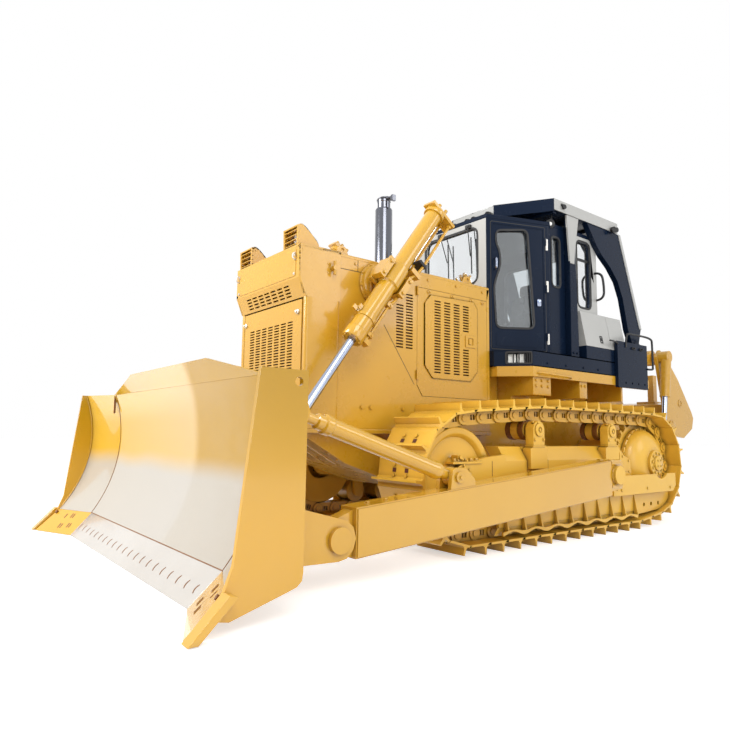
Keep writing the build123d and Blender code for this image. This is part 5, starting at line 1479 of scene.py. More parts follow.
@one_piece("blade_back", blade_paint, "blade_frame", rounding=0.004, stands_for=["blade"])
def draw_blade_back(bm):
    """The two box beams, the ribs between them and the ears for the cylinders, the arms and the braces."""
    swept(bm, [(-0.33, 0.24), (-0.33, 0.6), (-0.23, 0.6), (-0.06, 0.24)])
    swept(bm, [(-0.33, 1.12), (-0.33, 1.32), (-0.2, 1.32), (-0.25, 1.12)])
    rib = [(back + 0.005, 0.59), (back + 0.055, 0.59), (back + 0.048, 0.86), (back + 0.07, 1.13),
            (back + 0.005, 1.13)]
    for y in (-1.18, -0.36, 0.36, 1.18):
        plate(bm, rib, "y", y - 0.011, y + 0.011)
    for outline, middle, near, far, (x, z), proud, radius, steps in blade_ears:
        for side in (-1, 1):
            for edge in (-1, 1):
                cheek, outer = side * (middle + edge * near), side * (middle + edge * far)
                head = outer + side * edge * proud
                lifts = middle == lift_eye_y
                plate(bm, outline, "y", cheek, outer)
                bar(bm, (x, cheek if lifts else outer, z), (x, head, z), radius, steps)
                if lifts:
                    ring_of_bolts(bm, (x, head, z), (0, side * edge, 0), 0.04, 3, 0.009, 0.008)


@both_sides("blade_end_plates", plate_paint, "blade_frame", rounding=0.004, stands_for=["end_plates"])
def draw_end_plate(bm):
    """The plate that closes the wing, with a lifting hole and a rounded lower corner."""
    shape = [(3.657, blade_top), (3.958, blade_top), (4.075, 0.33), (4.172, 0.075), (4.09, 0.06),
            (3.76, 0.157), (3.7, 0.176), (3.668, 0.205), (3.661, 0.25)]
    plate(bm, shape, "y", plate_inside, blade_half, holes=[circle_points(3.718, 1.288, 0.026, 20)])
    weld = [blade_spot(3, offset, level) + Vector((0.004, -0.003, 0)) for offset, level in front_arc[::3]]
    pipe(bm, weld, 0.006)


@both_sides("blade_welds", slot_brown, "blade_frame", slot="paint_yellow")
def draw_welds(bm):
    """The weld down each bend, and the line along the foot of the face."""
    pipe(bm, [blade_spot(2, offset + 0.001, level) for offset, level in front_arc[::2]], 0.0035)
    box(bm, (edge_x - 0.183, edge_x - 0.166), (bend_y + 0.06, bend_y + 0.072), (1.17, blade_top))


# %% [markdown]
# The cutting edge is bolted on in parts: a pale steel bar along the middle, whose paleness is partly a painted
# reflection of the bright floor, and a golden bit on each wing that reaches round the end plate. The bolts lie
# flush in slots, and the shadow beside each bolt head is painted as a short dark crescent.

# %% Cutting edge and corner bits
edge_run, edge_low, edge_depth = 0.189, 0.006, 0.038
edge_section = [(0.0, edge_top), (edge_run, edge_low), (edge_run - edge_depth, edge_low),
        (-sheet, edge_top - 0.025)]
edge_slope = Vector((-edge_run, 0, edge_top - edge_low))
wing_way = Vector((sin(wing_turn), cos(wing_turn), 0))
wing_slope = Vector((-edge_run * cos(wing_turn), edge_run * sin(wing_turn), edge_top - edge_low))


def crescent(a, b, radius, width, steps=7):
    """A thin moon shape, open towards the first direction."""
    turns = [radians(115 + 130 * s / steps) for s in range(steps + 1)]
    outer = [(a + radius * cos(t), b + radius * sin(t)) for t in turns]
    inner = [(a + width + radius * 0.96 * cos(t), b + radius * sin(t)) for t in turns[-2:0:-1]]
    return outer + inner


@one_piece("middle_edge", edge_steel_and_sheen, "blade_frame", rounding=0.003)
def draw_middle_edge(bm):
    swept(bm, edge_section, (1, 2))


@one_piece("edge_shadow_marks", slot_brown, "blade_frame", slot="bare_steel")
def draw_edge_shadow_marks(bm):
    """A painted shadow crescent beside each sunk bolt head, and the gap over the edge."""
    face = ((edge_x, 0, edge_top), leftward, edge_slope)
    # Painted shadow: one dark crescent beside each of the bolt heads.
    for k in range(21):
        panel(bm, *face, crescent(-1.4 + 0.14 * k, -0.155, 0.034, 0.01), 0.006, [], 0.0015)
    panel(bm, *face, frame_of(-0.004, 0.003, -bend_y, bend_y), 0.01, [], 0.002)


@both_sides("wing_bits", blade_paint, "blade_frame", slot="bare_steel", rounding=0.003,
        stands_for=["cutting_edge"])
def draw_wing_bit(bm):
    """The bit on the wing and its tip outside the end plate."""
    swept(bm, edge_section, (2, 3))
    foot = blade_spot(3, 0, 0).x + 0.03 * tan(wing_turn)
    plate(bm, [(foot - sheet, edge_top), (foot + 0.012, edge_top + 0.015),
            (foot + edge_run + 0.025, edge_low), (foot + edge_run - 0.03, edge_low)], "y", blade_half,
            blade_half + 0.086)


# Painted shade: each slot in the bit is a dark brown patch on its face, standing for the shade inside the
# slot.
@both_sides("wing_bit_slots", slot_brown, "blade_frame", slot="bare_steel")
def draw_wing_slots(bm):
    start, end = blade_spot(2, 0, edge_top), blade_spot(3, 0, edge_top)
    for along, level in ((0.205, -0.06), (0.235, -0.06), (0.315, -0.07), (0.15, -0.17), (0.18, -0.17),
            (0.265, -0.185), (0.295, -0.185)):
        slot = frame_of(level - 0.026, level + 0.026, along - 0.006, along + 0.006, 0.005)
        panel(bm, start, wing_way, wing_slope, slot, 0.008, [], 0.002)
    bar(bm, end + Vector((0.02, -0.02, -0.028)), end + Vector((0.034, -0.024, -0.018)), 0.016, 12)


# %% [markdown]
# A push arm is a welded box beam. Its rear end has a round cap over the trunnion, bolted on in two
# halves, and its front end is a tongue between the blade's ears. The left brace is a screw strut and the
# right one a cylinder.

# %% Push arms
arm_in, arm_out = 1.42, 1.62
brace_low, brace_high = Vector((2.04, 0, 0.68)), Vector((3.47, 0, 1.137))


@both_sides("push_arm_beams", blade_paint, "blade_frame", rounding=0.006, stands_for=["push_arms"])
def draw_arm(bm):
    plate(bm, [(-0.085, 0.432), (3.024, 0.182), (3.024, 0.515), (-0.08, 0.772)], "y", arm_in + 0.01,
            arm_out - 0.01)
    for y in (arm_in, arm_out - 0.014):
        plate(bm, [(-0.078, 0.44), (3.014, 0.192), (3.014, 0.505), (-0.074, 0.764)], "y", y, y + 0.014)
    cap = rounded([(-0.08, 0.47), (-0.255, 0.49), (-0.33, 0.56), (-0.33, 0.705), (-0.262, 0.782),
            (-0.08, 0.764)], 0.05)
    plate(bm, cap, "y", arm_in + 0.006, arm_out - 0.016)
    for z in (0.523, 0.745):
        for y in (arm_in + 0.045, arm_out - 0.042):
            bar(bm, (-0.1, y, z), (-0.285, y, z), 0.036, 20)
            bolt(bm, (-0.285, y, z), (-1, 0, 0), 0.024, 0.022)
    turned(bm, [(-0.03, 0.0), (-0.03, 0.078), (0.0, 0.078), (0.004, 0.072), (0.004, 0.05), (-0.004, 0.046),
            (-0.004, 0.0)], (-0.166, arm_out, 0.63), steps=36)
    tongue = [(3.024, 0.19), (3.174, 0.202), (3.235, 0.22), (3.28, 0.262), (3.294, 0.322), (3.28, 0.382),
            (3.235, 0.424), (3.174, 0.442), (3.024, 0.495)]
    plate(bm, tongue, "y", arm_mid - 0.05, arm_mid + 0.05)
    ear = [(1.85, 0.556), (2.135, 0.54), (2.11, 0.725), (2.094, 0.745), (2.07, 0.752), (1.98, 0.752),
            (1.94, 0.735), (1.86, 0.66)]
    x, _, z = brace_low
    for edge in (-1, 1):
        near, far, head = [arm_mid + edge * out for out in (0.045, 0.083, 0.101)]
        plate(bm, ear, "y", near, far)
        bar(bm, (x, far, z), (x, head, z), 0.042, 24)
        bolt(bm, (x, head, z), (0, edge, 0), 0.014, 0.012)
    for x, z in ((2.7, 0.537), (2.86, 0.524)):
        bolt(bm, (x, arm_mid, z), upright, 0.018, 0.016)


# %% Braces
brace_way = (brace_high - brace_low).normalized()


def brace_spot(share, y):
    return brace_low.lerp(brace_high, share) + Vector((0, y, 0))


def brace_end_eyes(bm, y):
    """The eye at each end, with its pin's grease cap."""
    for share in (0, 1):
        bar(bm, brace_spot(share, y - 0.043), brace_spot(share, y + 0.043), 0.068, 32)


@one_piece("left_strut", blade_paint, "blade_frame", rounding=0.003, stands_for=["brace_left"])
def draw_strut(bm):
    """The screw strut: a long tube with a threaded end, a collar and a lock nut."""
    length = (brace_high - brace_low).length
    turned(bm, [(0.03, 0.0), (0.05, 0.04), (0.14, 0.044), (0.15, 0.062), (0.17, 0.068), (0.2, 0.068),
            (0.22, 0.062), (length * 0.8, 0.062), (length * 0.8 + 0.01, 0.07), (length * 0.84, 0.07),
            (length * 0.85, 0.056), (length * 0.88, 0.054), (length * 0.885, 0.036), (length - 0.04, 0.036),
            (length - 0.03, 0.0)], brace_spot(0, arm_mid), brace_way, 40)
    brace_end_eyes(bm, arm_mid)


@one_piece("tilt_barrel", blade_paint, "blade_frame", rounding=0.003, stands_for=["tilt_cylinder_right"])
def draw_cylinder_body(bm):
    """The tilt cylinder's barrel with its gland and pipes."""
    turned(bm, [(0.03, 0.0), (0.05, 0.055), (0.1, 0.085), (0.8, 0.085), (0.81, 0.094), (0.9, 0.094),
            (0.91, 0.06), (0.93, 0.05), (0.93, 0.0)], brace_spot(0, -arm_mid), brace_way, 40)
    brace_end_eyes(bm, -arm_mid)
    rise = brace_way.cross(Vector(leftward))
    stops = ((0.1, 0.08), (0.11, 0.115), (0.2, 0.118), (0.45, 0.118), (0.54, 0.115), (0.55, 0.08))
    for y in (-0.03, 0.03):
        pipe(bm, [brace_spot(share, -arm_mid + y) + rise * reach for share, reach in stops], 0.011)


@one_piece("tilt_rod", chrome, "blade_frame")
def draw_cylinder_rod(bm):
    bar(bm, brace_spot(0.55, -arm_mid), brace_spot(0.97, -arm_mid), 0.042, 32)


# %% [markdown]
# A lift cylinder hangs in a yoke by its middle, so that it can swing while the blade rises. The barrel is
# a turned tube with a bolted head, a thick ring at the yoke and a gland at its foot. Its bore is drawn
# too, so that the rod runs in it. Two oil pipes lie along its rear side.

# %% Lift cylinders
trunnion, lift_eye = Vector((1.966, lift_eye_y, 2.52)), Vector((3.286, lift_eye_y, 0.72))
lift_way = (lift_eye - trunnion).normalized()
lift_back = Vector((lift_way.z, 0, -lift_way.x))
lift_length = (lift_eye - trunnion).length


def lift_spot(distance, out=0.0, across=0.0):
    """A point from its distance along the cylinder, how far behind its axis and how far outboard."""
    return trunnion + lift_way * distance + lift_back * out + Vector((0, across, 0))


def lift_run(*points):
    """Places along the cylinder, for a pipe."""
    return [lift_spot(*point) for point in points]


def lift_block(bm, along, out, across):
    """A block squared to the cylinder; each argument is a (low, high) pair."""
    made = box(bm, along, across, out)
    turn = Matrix((lift_way, leftward, lift_back)).transposed().to_4x4()
    bmesh.ops.transform(bm, verts=made, matrix=Matrix.Translation(trunnion) @ turn)


@each_side("lift_barrel_tube", blade_paint, "lift_barrel", rounding=0.002, stands_for=["lift_barrel"])
def draw_barrel(bm):
    turned(bm, [(-0.72, 0.0), (-0.72, 0.082), (0.02, 0.082), (0.035, 0.098), (0.11, 0.102), (0.25, 0.102),
            (0.265, 0.084), (0.62, 0.084), (0.625, 0.088), (0.8, 0.088), (0.806, 0.095), (0.895, 0.095),
            (0.905, 0.088), (0.905, 0.0395), (-0.62, 0.0395), (-0.62, 0.0)], trunnion, lift_way, 48)
    turned(bm, [(-0.745, 0.0), (-0.745, 0.098), (-0.705, 0.102), (-0.695, 0.098), (-0.695, 0.0)], trunnion,
            lift_way, 40)
    bar(bm, lift_spot(0, 0, -0.109), lift_spot(0, 0, -0.065), 0.088, 32)
    ring_of_bolts(bm, lift_spot(-0.745), -lift_way, 0.075, 8, 0.012, 0.014)
    ring_of_bolts(bm, lift_spot(0.905), lift_way, 0.076, 8, 0.01, 0.012)
    lift_block(bm, (-0.772, -0.742), (-0.12, 0.215), (-0.065, 0.08))
    lift_block(bm, (-0.815, -0.768), (-0.085, 0.01), (-0.035, 0.035))
    for out, across in ((-0.075, 0.0), (-0.02, 0.03), (-0.02, -0.03), (0.06, 0.045), (0.06, -0.035)):
        bar(bm, lift_spot(-0.768, out, across), lift_spot(-0.835, out, across), 0.018, 10)
    turned(bm, [(0.65, 0.084), (0.65, 0.096), (0.685, 0.096), (0.685, 0.084)], trunnion, lift_way, 36)
    lift_block(bm, (0.595, 0.68), (-0.12, -0.08), (-0.012, 0.012))
    lift_block(bm, (0.64, 0.68), (-0.165, -0.11), (-0.012, 0.012))
    bolt(bm, lift_spot(0.64, -0.11, 0.012), leftward, 0.014, 0.012)


@each_side("lift_yoke", golden_paint, "lift_barrel", rounding=0.008)
def draw_yoke(bm):
    """The forked block that holds the ring, and its two caps."""
    lift_block(bm, (0.05, 0.28), (-0.15, 0.15), (-0.104, -0.06))
    for side in (-1, 1):
        lift_block(bm, (0.065, 0.265), sorted((side * 0.106, side * 0.158)), (-0.06, 0.048))
        lift_block(bm, (0.055, 0.275), sorted((side * 0.1, side * 0.166)), (0.048, 0.078))
        for along in (0.095, 0.235):
            bolt(bm, lift_spot(along, side * 0.133, 0.078), leftward, 0.016, 0.015)


@each_side("lift_oil_pipes", golden_paint, "lift_barrel", smooth=50)
def draw_oil_pipes(bm):
    """The pipes from the head to the yoke, their clamp, and the one that goes on to the gland."""
    for out, across in ((0.13, -0.035), (0.18, 0.045)):
        pipe(bm, lift_run(*((along, out, across) for along in (-0.745, -0.69, -0.35, -0.06)),
                (0.04, 0.128, across)), 0.0145)
        bar(bm, lift_spot(-0.748, out, across), lift_spot(-0.71, out, across), 0.024, 6)
    lift_block(bm, (-0.055, -0.01), (0.085, 0.205), (-0.06, 0.07))
    pipe(bm, lift_run(*((along, out, 0.01) for along, out in ((0.275, 0.14), (0.31, 0.15), (0.38, 0.12),
            (0.42, 0.118), (0.7, 0.118), (0.79, 0.118), (0.83, 0.085)))), 0.0145)
    for along in (0.4, 0.76):
        lift_block(bm, (along - 0.018, along + 0.018), (0.08, 0.142), (-0.02, 0.04))
        bolt(bm, lift_spot(along, 0.125, 0.04), leftward, 0.01, 0.01)
    lift_block(bm, (0.812, 0.858), (0.085, 0.15), (-0.03, 0.045))


@each_side("lift_pipe_clamp", black_rubber, "lift_barrel", rounding=0.004)
def draw_pipe_clamp(bm):
    lift_block(bm, (-0.185, -0.155), (0.108, 0.205), (-0.058, 0.068))


@each_side("lift_rod_bar", chrome, "lift_rod", stands_for=["lift_rod"])
def draw_rod(bm):
    bar(bm, lift_spot(0.4), lift_spot(lift_length - 0.06), 0.038, 40)


@each_side("lift_rod_eye", blade_paint, "lift_rod", slot="chrome_rod")
def draw_rod_eye(bm):
    turned(bm, symmetric([(-0.045, 0.0), (-0.045, 0.06), (-0.038, 0.067)]), lift_eye, steps=36)
    turned(bm, [(lift_length - 0.13, 0.0385), (lift_length - 0.125, 0.05), (lift_length - 0.06, 0.052),
            (lift_length - 0.04, 0.04), (lift_length - 0.04, 0.0)], trunnion, lift_way, 32)


boss_x, boss_z = 2.06, 2.37


@both_sides("lift_bosses", golden_paint, rounding=0.004, stands_for=["lift_brackets"])
def draw_lift_bracket(bm):
    """The round cast boss on the bonnet's side that carries the yoke's pin."""
    turned(bm, [(0.0, 0.0), (0.0, 0.2), (0.016, 0.2), (0.02, 0.186), (0.048, 0.176), (0.06, 0.15),
            (0.06, 0.0)], (boss_x, side_y, boss_z), steps=48)
    turned(bm, [(0.055, 0.0), (0.055, 0.125), (0.075, 0.112), (0.115, 0.105), (0.12, 0.098), (0.12, 0.0)],
            (boss_x, side_y, boss_z + 0.05), steps=40)
    ring_of_bolts(bm, (boss_x, side_y + 0.016, boss_z), leftward, 0.188, 10, 0.012, 0.014, first=0.3)
    for x in (-0.12, 0.0, 0.12):
        plate(bm, [(side_y + 0.02, boss_z - 0.17 + abs(x) * 0.4), (side_y + 0.065, boss_z - 0.08),
                (side_y + 0.1, boss_z), (side_y + 0.02, boss_z)], "x", boss_x + x - 0.011, boss_x + x + 0.011)


# %% [markdown]
# The track frame is one welding: the beam with its housing for the recoil spring, the fork that holds the
# idler, posts for the upper rollers, and the guard outside the lower ones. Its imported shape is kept, and
# the caps, bolts, clamps and seams that are too small for it are added.

# %% Track frames
guard_face, post_face, bar_face = 1.26, 1.3, 1.387
rail_outer, rail_reach, rib_face, rib_pitch = 1.2851, 1.3105, 1.334, 0.245
wave_pitch, crest_x = 0.33, 1.07


def without_rail(bm):
    """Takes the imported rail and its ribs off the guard, because finer ones are drawn instead."""
    doomed = []
    for v in bm.verts:
        x, y, z = v.co
        if -1.1 < x < 1.36 and rail_outer < abs(y) < rail_reach and z < 0.43:
            doomed.append(v)
    bmesh.ops.delete(bm, geom=doomed, context="VERTS")


clean_copy("track_frames", "track_frame_skins", track_paint, 0.006, before=without_rail)


@both_sides("frame_fittings", track_paint, rounding=0.002)
def draw_frame_fittings(bm):
    for x in carrier_xs:
        turned(bm, [(0.0, 0.062), (0.012, 0.062), (0.016, 0.05), (0.016, 0.03), (0.006, 0.026), (0.006, 0.0)],
                (x, post_face, carrier_z), steps=28)
        bolt(bm, (x, post_face + 0.004, carrier_z), leftward, 0.014, 0.012)
        box(bm, (x - 0.1, x + 0.1), (1.216, post_face + 0.008), (0.9, 0.912))
        box(bm, (x - 0.024, x + 0.024), (1.235, post_face + 0.006), (1.12, 1.14))
        for side in (-1, 1):
            bolt(bm, (x + side * 0.066, post_face, 0.968), leftward, 0.013, 0.012)
            bolt(bm, (x + side * 0.05, post_face - 0.03, 1.125), upright, 0.014, 0.016)
    box(bm, (-1.085, 1.205), (guard_face + 0.01, rail_outer + 0.003), (0.19, 0.56))
    rib = [(rail_outer, 0.405), (rib_face, 0.168), (rib_face, 0.15), (rail_outer, 0.15)]
    for k in range(10):
        x = -1.085 + rib_pitch * k
        plate(bm, rib, "x", x, x + 0.016)
    lower, upper = [], []
    for k in range(87):
        x = -1.075 + 0.0265 * k
        sway = 0.018 * cos(2 * pi * (x - crest_x) / wave_pitch)
        lower.append((x, 0.138 + sway))
        upper.append((x, 0.165 + sway * 0.5))
    plate(bm, lower + upper[::-1], "y", guard_face + 0.052, guard_face + 0.076)
    for x, z in ((1.48, 0.52), (1.62, 0.775), (1.75, 0.53)):
        ring_of_bolts(bm, (x, guard_face, z), leftward, 0.03, 3, 0.011, 0.012)
    hub = (idler_x, guard_face, idler_z)
    ring_of_bolts(bm, hub, leftward, 0.085, 8, 0.012, 0.014)
    turned(bm, [(0.0, 0.06), (0.02, 0.06), (0.026, 0.048), (0.026, 0.0)], hub, steps=32)
    box(bm, (1.4, 1.76), (1.175, guard_face + 0.01), (0.756, 0.776))
    for x in (1.43, 1.5, 1.57, 1.7):
        bolt(bm, (x, 1.225, 0.776), upright, 0.02, 0.028)
    box(bm, (1.64, 1.69), (1.18, 1.255), (0.776, 0.83))
    bar(bm, (1.665, 1.165, 0.812), (1.665, 1.275, 0.812), 0.018, 14)


@both_sides("frame_rear_fittings", track_paint, rounding=0.003)
def draw_frame_rear(bm):
    """The outer bar's bolts, the plate behind the post and the bolts of the frame's rear box."""
    side_bolts(bm, ((-1.72, 0.43), (-1.2, 0.44), (-0.66, 0.44), (-0.66, 0.56)), bar_face, 0.013, 0.01)
    plate(bm, [(-0.56, 0.44), (-0.64, 0.6), (-0.56, 0.6)], "y", bar_face, bar_face + 0.012)
    shape = [(-0.845, 0.835), (-1.065, 0.745), (-1.054, 0.575), (-0.845, 0.575)]
    plate(bm, shape, "y", guard_face - 0.02, guard_face + 0.012)
    side_bolts(bm, ((-0.9, 0.79), (-1.02, 0.74), (-1.02, 0.62)), guard_face + 0.012, 0.011, 0.01)


@both_sides("frame_seams", slot_brown, slot="core_dark")
def draw_frame_seams(bm):
    """Dark joints between the recoil housing's parts, and the bands of the upper rollers."""
    for x in (1.255, 0.76, 0.44):
        plate(bm, [(1.262, 0.64), (1.262, 0.772), (1.176, 0.902), (1.0, 0.902), (1.0, 0.8995),
                (1.174, 0.8995), (1.259, 0.771), (1.259, 0.64)], "x", x, x + 0.005)
    for x in carrier_xs:
        for y in (-0.1, 0.052):
            turned(bm, [(y, 0.08), (y, 0.099), (y + 0.048, 0.099), (y + 0.048, 0.08)], (x, y0, carrier_z),
                    steps=32)


# %% [markdown]
# The hull is the belly case between the tracks, with the cross beam that joins the frames. Little of it
# shows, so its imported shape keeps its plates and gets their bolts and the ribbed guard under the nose.

# %% Hull and ripper
for node, name in (("hull", "hull_skin"), ("cross_members", "cross_beam_skins"),
        ("ripper_bracket", "ripper_bracket_skin"), ("ripper_arm", "ripper_arm_skins"),
        ("ripper_links", "ripper_link_skins"), ("ripper_carrier", "ripper_carrier_skin"),
        ("ripper_barrels", "ripper_barrel_skins"), ("ripper_shank", "ripper_shank_skin")):
    clean_copy(node, name, golden_paint, 0.006)


@one_piece("nose_guard_ribs", golden_paint)
def draw_nose_guard(bm):
    """A sloping guard with ribs under the radiator, and the bolts of the belly plate."""
    slope = Vector((0.47, 0, 0.26))
    for y in (-0.36, -0.18, 0.0, 0.18, 0.36):
        panel(bm, (2.3, y, 0.74), leftward, slope, frame_of(0.02, 0.5, -0.01, 0.01), 0.004, [], 0.03)
    for y in (-0.42, -0.27, -0.09, 0.09, 0.27, 0.42):
        for along in (0.06, 0.46):
            bolt(bm, Vector((2.3, y, 0.74)) + slope.normalized() * along, (slope.z, 0, -slope.x), 0.014,
                    0.012)
    for x in (-1.7, -1.1, -0.5, 0.1, 0.7, 1.3):
        for y in (-0.4, 0.4):
            bolt(bm, (x, y, 0.5), (0, 0, -1), 0.014, 0.01)


@one_piece("ripper_carrier_fittings", golden_paint, "ripper_carrier", rounding=0.003)
def draw_carrier_fittings(bm):
    """Pin caps outside the ripper's side plates, and the lifting hole."""
    x, z = -3.6, 1.15
    for side in (-1, 1):
        turned(bm, [(0.0, 0.105), (0.014, 0.105), (0.018, 0.06), (0.026, 0.055), (0.026, 0.0)],
                (x, side * 0.54, z), (0, side, 0), 32)
        ring_of_bolts(bm, (x, side * 0.554, z), (0, side, 0), 0.082, 4, 0.012, 0.012, first=pi / 4)
        plate(bm, circle_points(-3.884, 1.517, 0.06, 24), "y", side * 0.54, side * 0.548,
                holes=[circle_points(-3.884, 1.517, 0.036, 20)])
    for z in (1.12, 1.44):
        bar(bm, (-4.12, -0.175, z), (-4.12, 0.175, z), 0.034, 20)


# %% [markdown]
# Inside the cab there are an operator's seat, a console at each hand and a dashboard under the
# windshield. The seat is padded, so it is a soft crowned form: a box whose faces swell, with sunk seams
# between its panels.

# %% Seat
def cushion(bm, low, high, grooves=()):
    """A padded block: a divided box whose corners are drawn in and whose panels rise between the seams."""
    unit = bmesh.new()
    bmesh.ops.create_cube(unit, size=2.0)
    bmesh.ops.subdivide_edges(unit, edges=unit.edges[:], cuts=9, use_grid_fill=True)
    half, middle = (Vector(high) - Vector(low)) / 2, (Vector(high) + Vector(low)) / 2
    for v in unit.verts:
        x, y, z = v.co
        seam = 1.0 - sum(0.16 * max(0.0, 1 - abs(y - place) / 0.13) for place in grooves)
        round_in = 1 - 0.0375 * ((x * y) ** 2 + (y * z) ** 2 + (x * z) ** 2)
        v.co = middle + Vector((half.x * x * round_in * (seam if abs(x) > 0.99 else 1), half.y * y * round_in,
                half.z * z * round_in * (seam if abs(z) > 0.99 else 1)))
    poured(bm, unit)


@one_piece("seat_cushions", seat_cloth, smooth=60, stands_for=["seat"])
def seat(bm):
    """The squab, the backrest, the headrest and the two armrests."""
    cushion(bm, (-0.88, -0.26, 2.19), (-0.345, 0.26, 2.305), grooves=(-0.5, 0.5))
    start = len(bm.verts)
    cushion(bm, (-0.945, -0.25, 2.29), (-0.83, 0.25, 2.84), grooves=(-0.5, 0.5))
    cushion(bm, (-0.93, -0.14, 2.84), (-0.845, 0.14, 2.985))
    bm.verts.ensure_lookup_table()
    lean = Matrix.Rotation(radians(-10), 3, "Y")
    bmesh.ops.rotate(bm, verts=bm.verts[start:], cent=(-0.86, 0, 2.29), matrix=lean)
    for y in (-0.3, 0.3):
        cushion(bm, (-0.86, y - 0.035, 2.445), (-0.52, y + 0.035, 2.5))


@one_piece("seat_base", console_plastic, slot="seat_cloth", rounding=0.006)
def draw_seat_base(bm):
    box(bm, (-0.86, -0.37), (-0.23, 0.23), (2.15, 2.185))
    for z in (1.93, 1.985, 2.04, 2.095):
        box(bm, (-0.83, -0.4), (-0.205, 0.205), (z, z + 0.03))
    box(bm, (-0.8, -0.43), (-0.18, 0.18), (1.902, 2.15))
    for y in (-0.3, 0.3):
        bar(bm, (-0.85, y, 2.33), (-0.83, y, 2.45), 0.014, 12)
        bar(bm, (-0.85, y, 2.33), (-0.85, y * 0.8, 2.33), 0.014, 12)


soft = seat.modifiers.new("soft_form", "SUBSURF")
soft.levels = soft.render_levels = 1

# %% Consoles and levers
@one_piece("console_bodies", console_plastic, rounding=0.006, stands_for=["consoles"])
def draw_consoles(bm):
    """A console at each hand with its lever, and the dashboard with its dials and pedals."""
    for side in (-1, 1):
        plate(bm, [(-0.9, 1.902), (-0.3, 1.902), (-0.25, 2.05), (-0.25, 2.36), (-0.3, 2.422), (-0.9, 2.422)],
                "y", side * 0.345, side * 0.48)
        turned(bm, [(0.0, 0.045), (0.02, 0.04), (0.05, 0.022), (0.055, 0.01), (0.055, 0.0)],
                (-0.32, side * 0.412, 2.415), upright, 24)
        pipe(bm, [(-0.32, side * 0.412, 2.45), (-0.315, side * 0.412, 2.52), (-0.3, side * 0.405, 2.565)],
                0.009)
        turned(bm, [(0.0, 0.012), (0.02, 0.024), (0.06, 0.026), (0.075, 0.018), (0.08, 0.0)],
                (-0.302, side * 0.405, 2.55), upright, 20)
        for x in (-0.5, -0.6, -0.7):
            bar(bm, (x, side * 0.412, 2.415), (x, side * 0.412, 2.434), 0.016, 12)
    plate(bm, [(0.2, 1.902), (0.378, 1.902), (0.378, 2.5), (0.33, 2.535), (0.215, 2.47), (0.19, 2.38)], "y",
            -0.33, 0.33)
    for y in (-0.11, 0.11):
        box(bm, (0.09, 0.2), (y - 0.045, y + 0.045), (1.96, 1.975))
        bar(bm, (0.145, y, 1.96), (0.21, y, 1.93), 0.012, 10)


@one_piece("dashboard_dials", pale_steel, slot="console_plastic")
def draw_dials(bm):
    way = Vector((-0.065, 0, 0.115)).normalized()
    for y in (-0.2, -0.07, 0.07, 0.2):
        turned(bm, [(0.0, 0.048), (0.01, 0.048), (0.012, 0.042), (0.006, 0.04), (0.006, 0.0)],
                (0.272, y, 2.502), way, 28)


# %% [markdown]
# The engine is a plain block behind its doors. Open a door and it shows ribs, covers and pipes, enough to
# read as an engine from outside.

# %% Engine, radiator core and sprockets
@one_piece("engine_shape", engine_paint, rounding=0.01, stands_for=["engine_block"])
def draw_engine(bm):
    """The block with its cylinder covers, manifold and pulleys."""
    box(bm, (0.72, 2.23), (-0.3, 0.3), (1.08, 1.9))
    box(bm, (0.76, 2.19), (-0.2, 0.2), (1.89, 2.12))
    for k in range(6):
        x = 0.86 + k * 0.245
        box(bm, (x - 0.095, x + 0.095), (-0.16, 0.16), (2.11, 2.235))
        for side in (-1, 1):
            bar(bm, (x, side * 0.3, 1.78), (x, side * 0.34, 1.74), 0.045, 16)
            box(bm, (x - 0.012, x + 0.012), (side * 0.298, side * 0.322), (1.14, 1.66))
            bolt(bm, (x + 0.1, side * 0.3, 1.3), (0, side, 0), 0.02, 0.018)
    for side in (-1, 1):
        bar(bm, (0.78, side * 0.322, 1.735), (2.17, side * 0.322, 1.735), 0.052, 24)
        bar(bm, (1.0, side * 0.33, 1.25), (1.32, side * 0.33, 1.25), 0.048, 24)
    bar(bm, (2.228, 0, 1.5), (2.248, 0, 1.5), 0.18, 36)
    box(bm, (0.7, 0.74), (-0.36, 0.36), (1.06, 1.7))


@one_piece("radiator_tubes", inside_dark, stands_for=["radiator_core"])
def draw_core(bm):
    """The radiator core: upright tanks with fine tubes between them."""
    box(bm, (2.545, 2.7), (-0.54, 0.54), (1.045, 2.145))
    for k in range(44):
        y = -0.52 + k * 0.0242
        box(bm, (2.7, 2.716), (y - 0.004, y + 0.004), (1.06, 2.13))


clean_copy("sprockets", "sprocket_skins", track_paint, 0.004)
clean_copy("ripper_rods", "ripper_rod_skins", chrome, 0.002)
# %% [markdown]
# The floor is a wide pale sheet. It shows white to the camera and in glossy
# reflections, and keeps the machine's soft shadow.

# %% Floor and light
soft_level, floor_lift = 0.58, 0.55


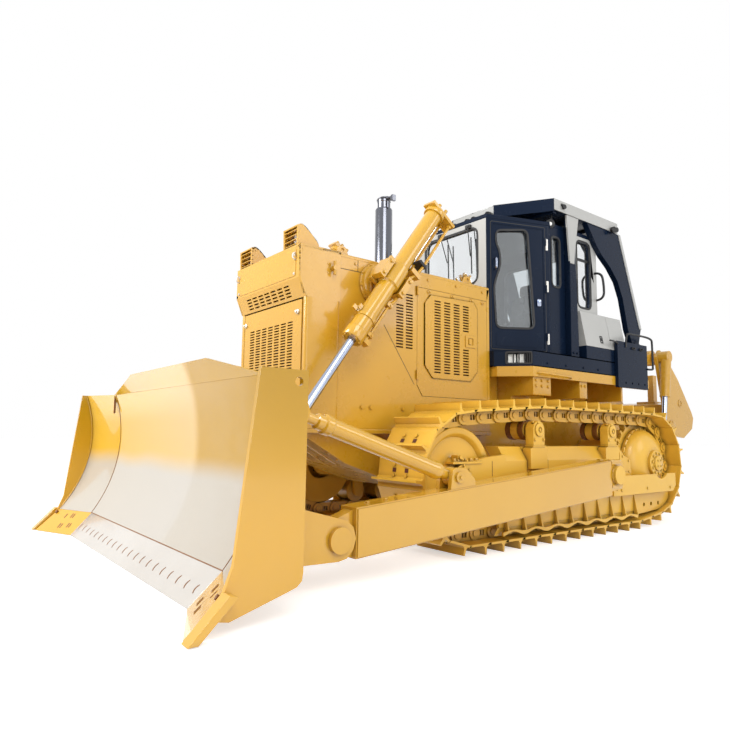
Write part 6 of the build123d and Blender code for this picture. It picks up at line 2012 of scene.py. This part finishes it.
def looked_at(tree):
    """One for what the camera sees, directly, in a reflection or through glass."""
    rays = tree.nodes.new("ShaderNodeLightPath").outputs
    return maths(tree, "MAXIMUM", maths(tree, "MAXIMUM", rays["Is Camera Ray"], rays["Is Glossy Ray"]),
            rays["Is Transmission Ray"])


studio = bpy.data.worlds.new("studio")
bpy.context.scene.world = studio
studio.use_nodes = True
sky = studio.node_tree
background = set_inputs(sky.nodes["Background"], Color=(1, 1, 1, 1))
strength = add_node(sky, "ShaderNodeMapRange", To_Min=soft_level, To_Max=1.0)
sky.links.new(looked_at(sky), strength.inputs["Value"])
sky.links.new(strength.outputs["Result"], background.inputs["Strength"])

floor_bm = bmesh.new()
bmesh.ops.create_grid(floor_bm, x_segments=1, y_segments=1, size=60)
floor_mesh = bpy.data.meshes.new("floor")
floor_bm.to_mesh(floor_mesh)
floor_bm.free()
floor = bpy.data.objects.new("floor", floor_mesh)
bpy.context.scene.collection.objects.link(floor)
floor_paint, tree, matt = new_material("pale_floor")
set_inputs(matt, Base_Color=(0.8, 0.8, 0.8, 1), Roughness=0.9, Specular_IOR_Level=0.1)
lift = tree.nodes.new("ShaderNodeEmission")
tree.links.new(multiply(tree, looked_at(tree), floor_lift), lift.inputs["Strength"])
both = tree.nodes.new("ShaderNodeAddShader")
for k, shader in enumerate((matt, lift)):
    tree.links.new(shader.outputs[0], both.inputs[k])
tree.links.new(both.outputs[0], tree.nodes["Material Output"].inputs["Surface"])
floor_mesh.materials.append(floor_paint)


def soft_lamp(name, place, aim, size, power):
    """A square soft box turned towards a point."""
    light = bpy.data.lights.new(name, "AREA")
    light.size, light.energy = size, power
    thing = bpy.data.objects.new(name, light)
    thing.location, thing.rotation_mode = place, "QUATERNION"
    thing.rotation_quaternion = (Vector(aim) - Vector(place)).to_track_quat("-Z", "Y")
    bpy.context.scene.collection.objects.link(thing)


soft_lamp("high_left", (6.0, 9.0, 9.0), (0, 0, 1.2), 6.0, 600)
soft_lamp("high_front", (10.0, -3.0, 6.0), (1, 0, 1.4), 5.0, 950)
soft_lamp("rear_left", (-6.0, 12.0, 7.0), (-1, 0, 1.5), 5.0, 260)
soft_lamp("low_left", (2.0, 11.0, 2.6), (0, 0, 0.7), 5.0, 170)
print("stage ready")
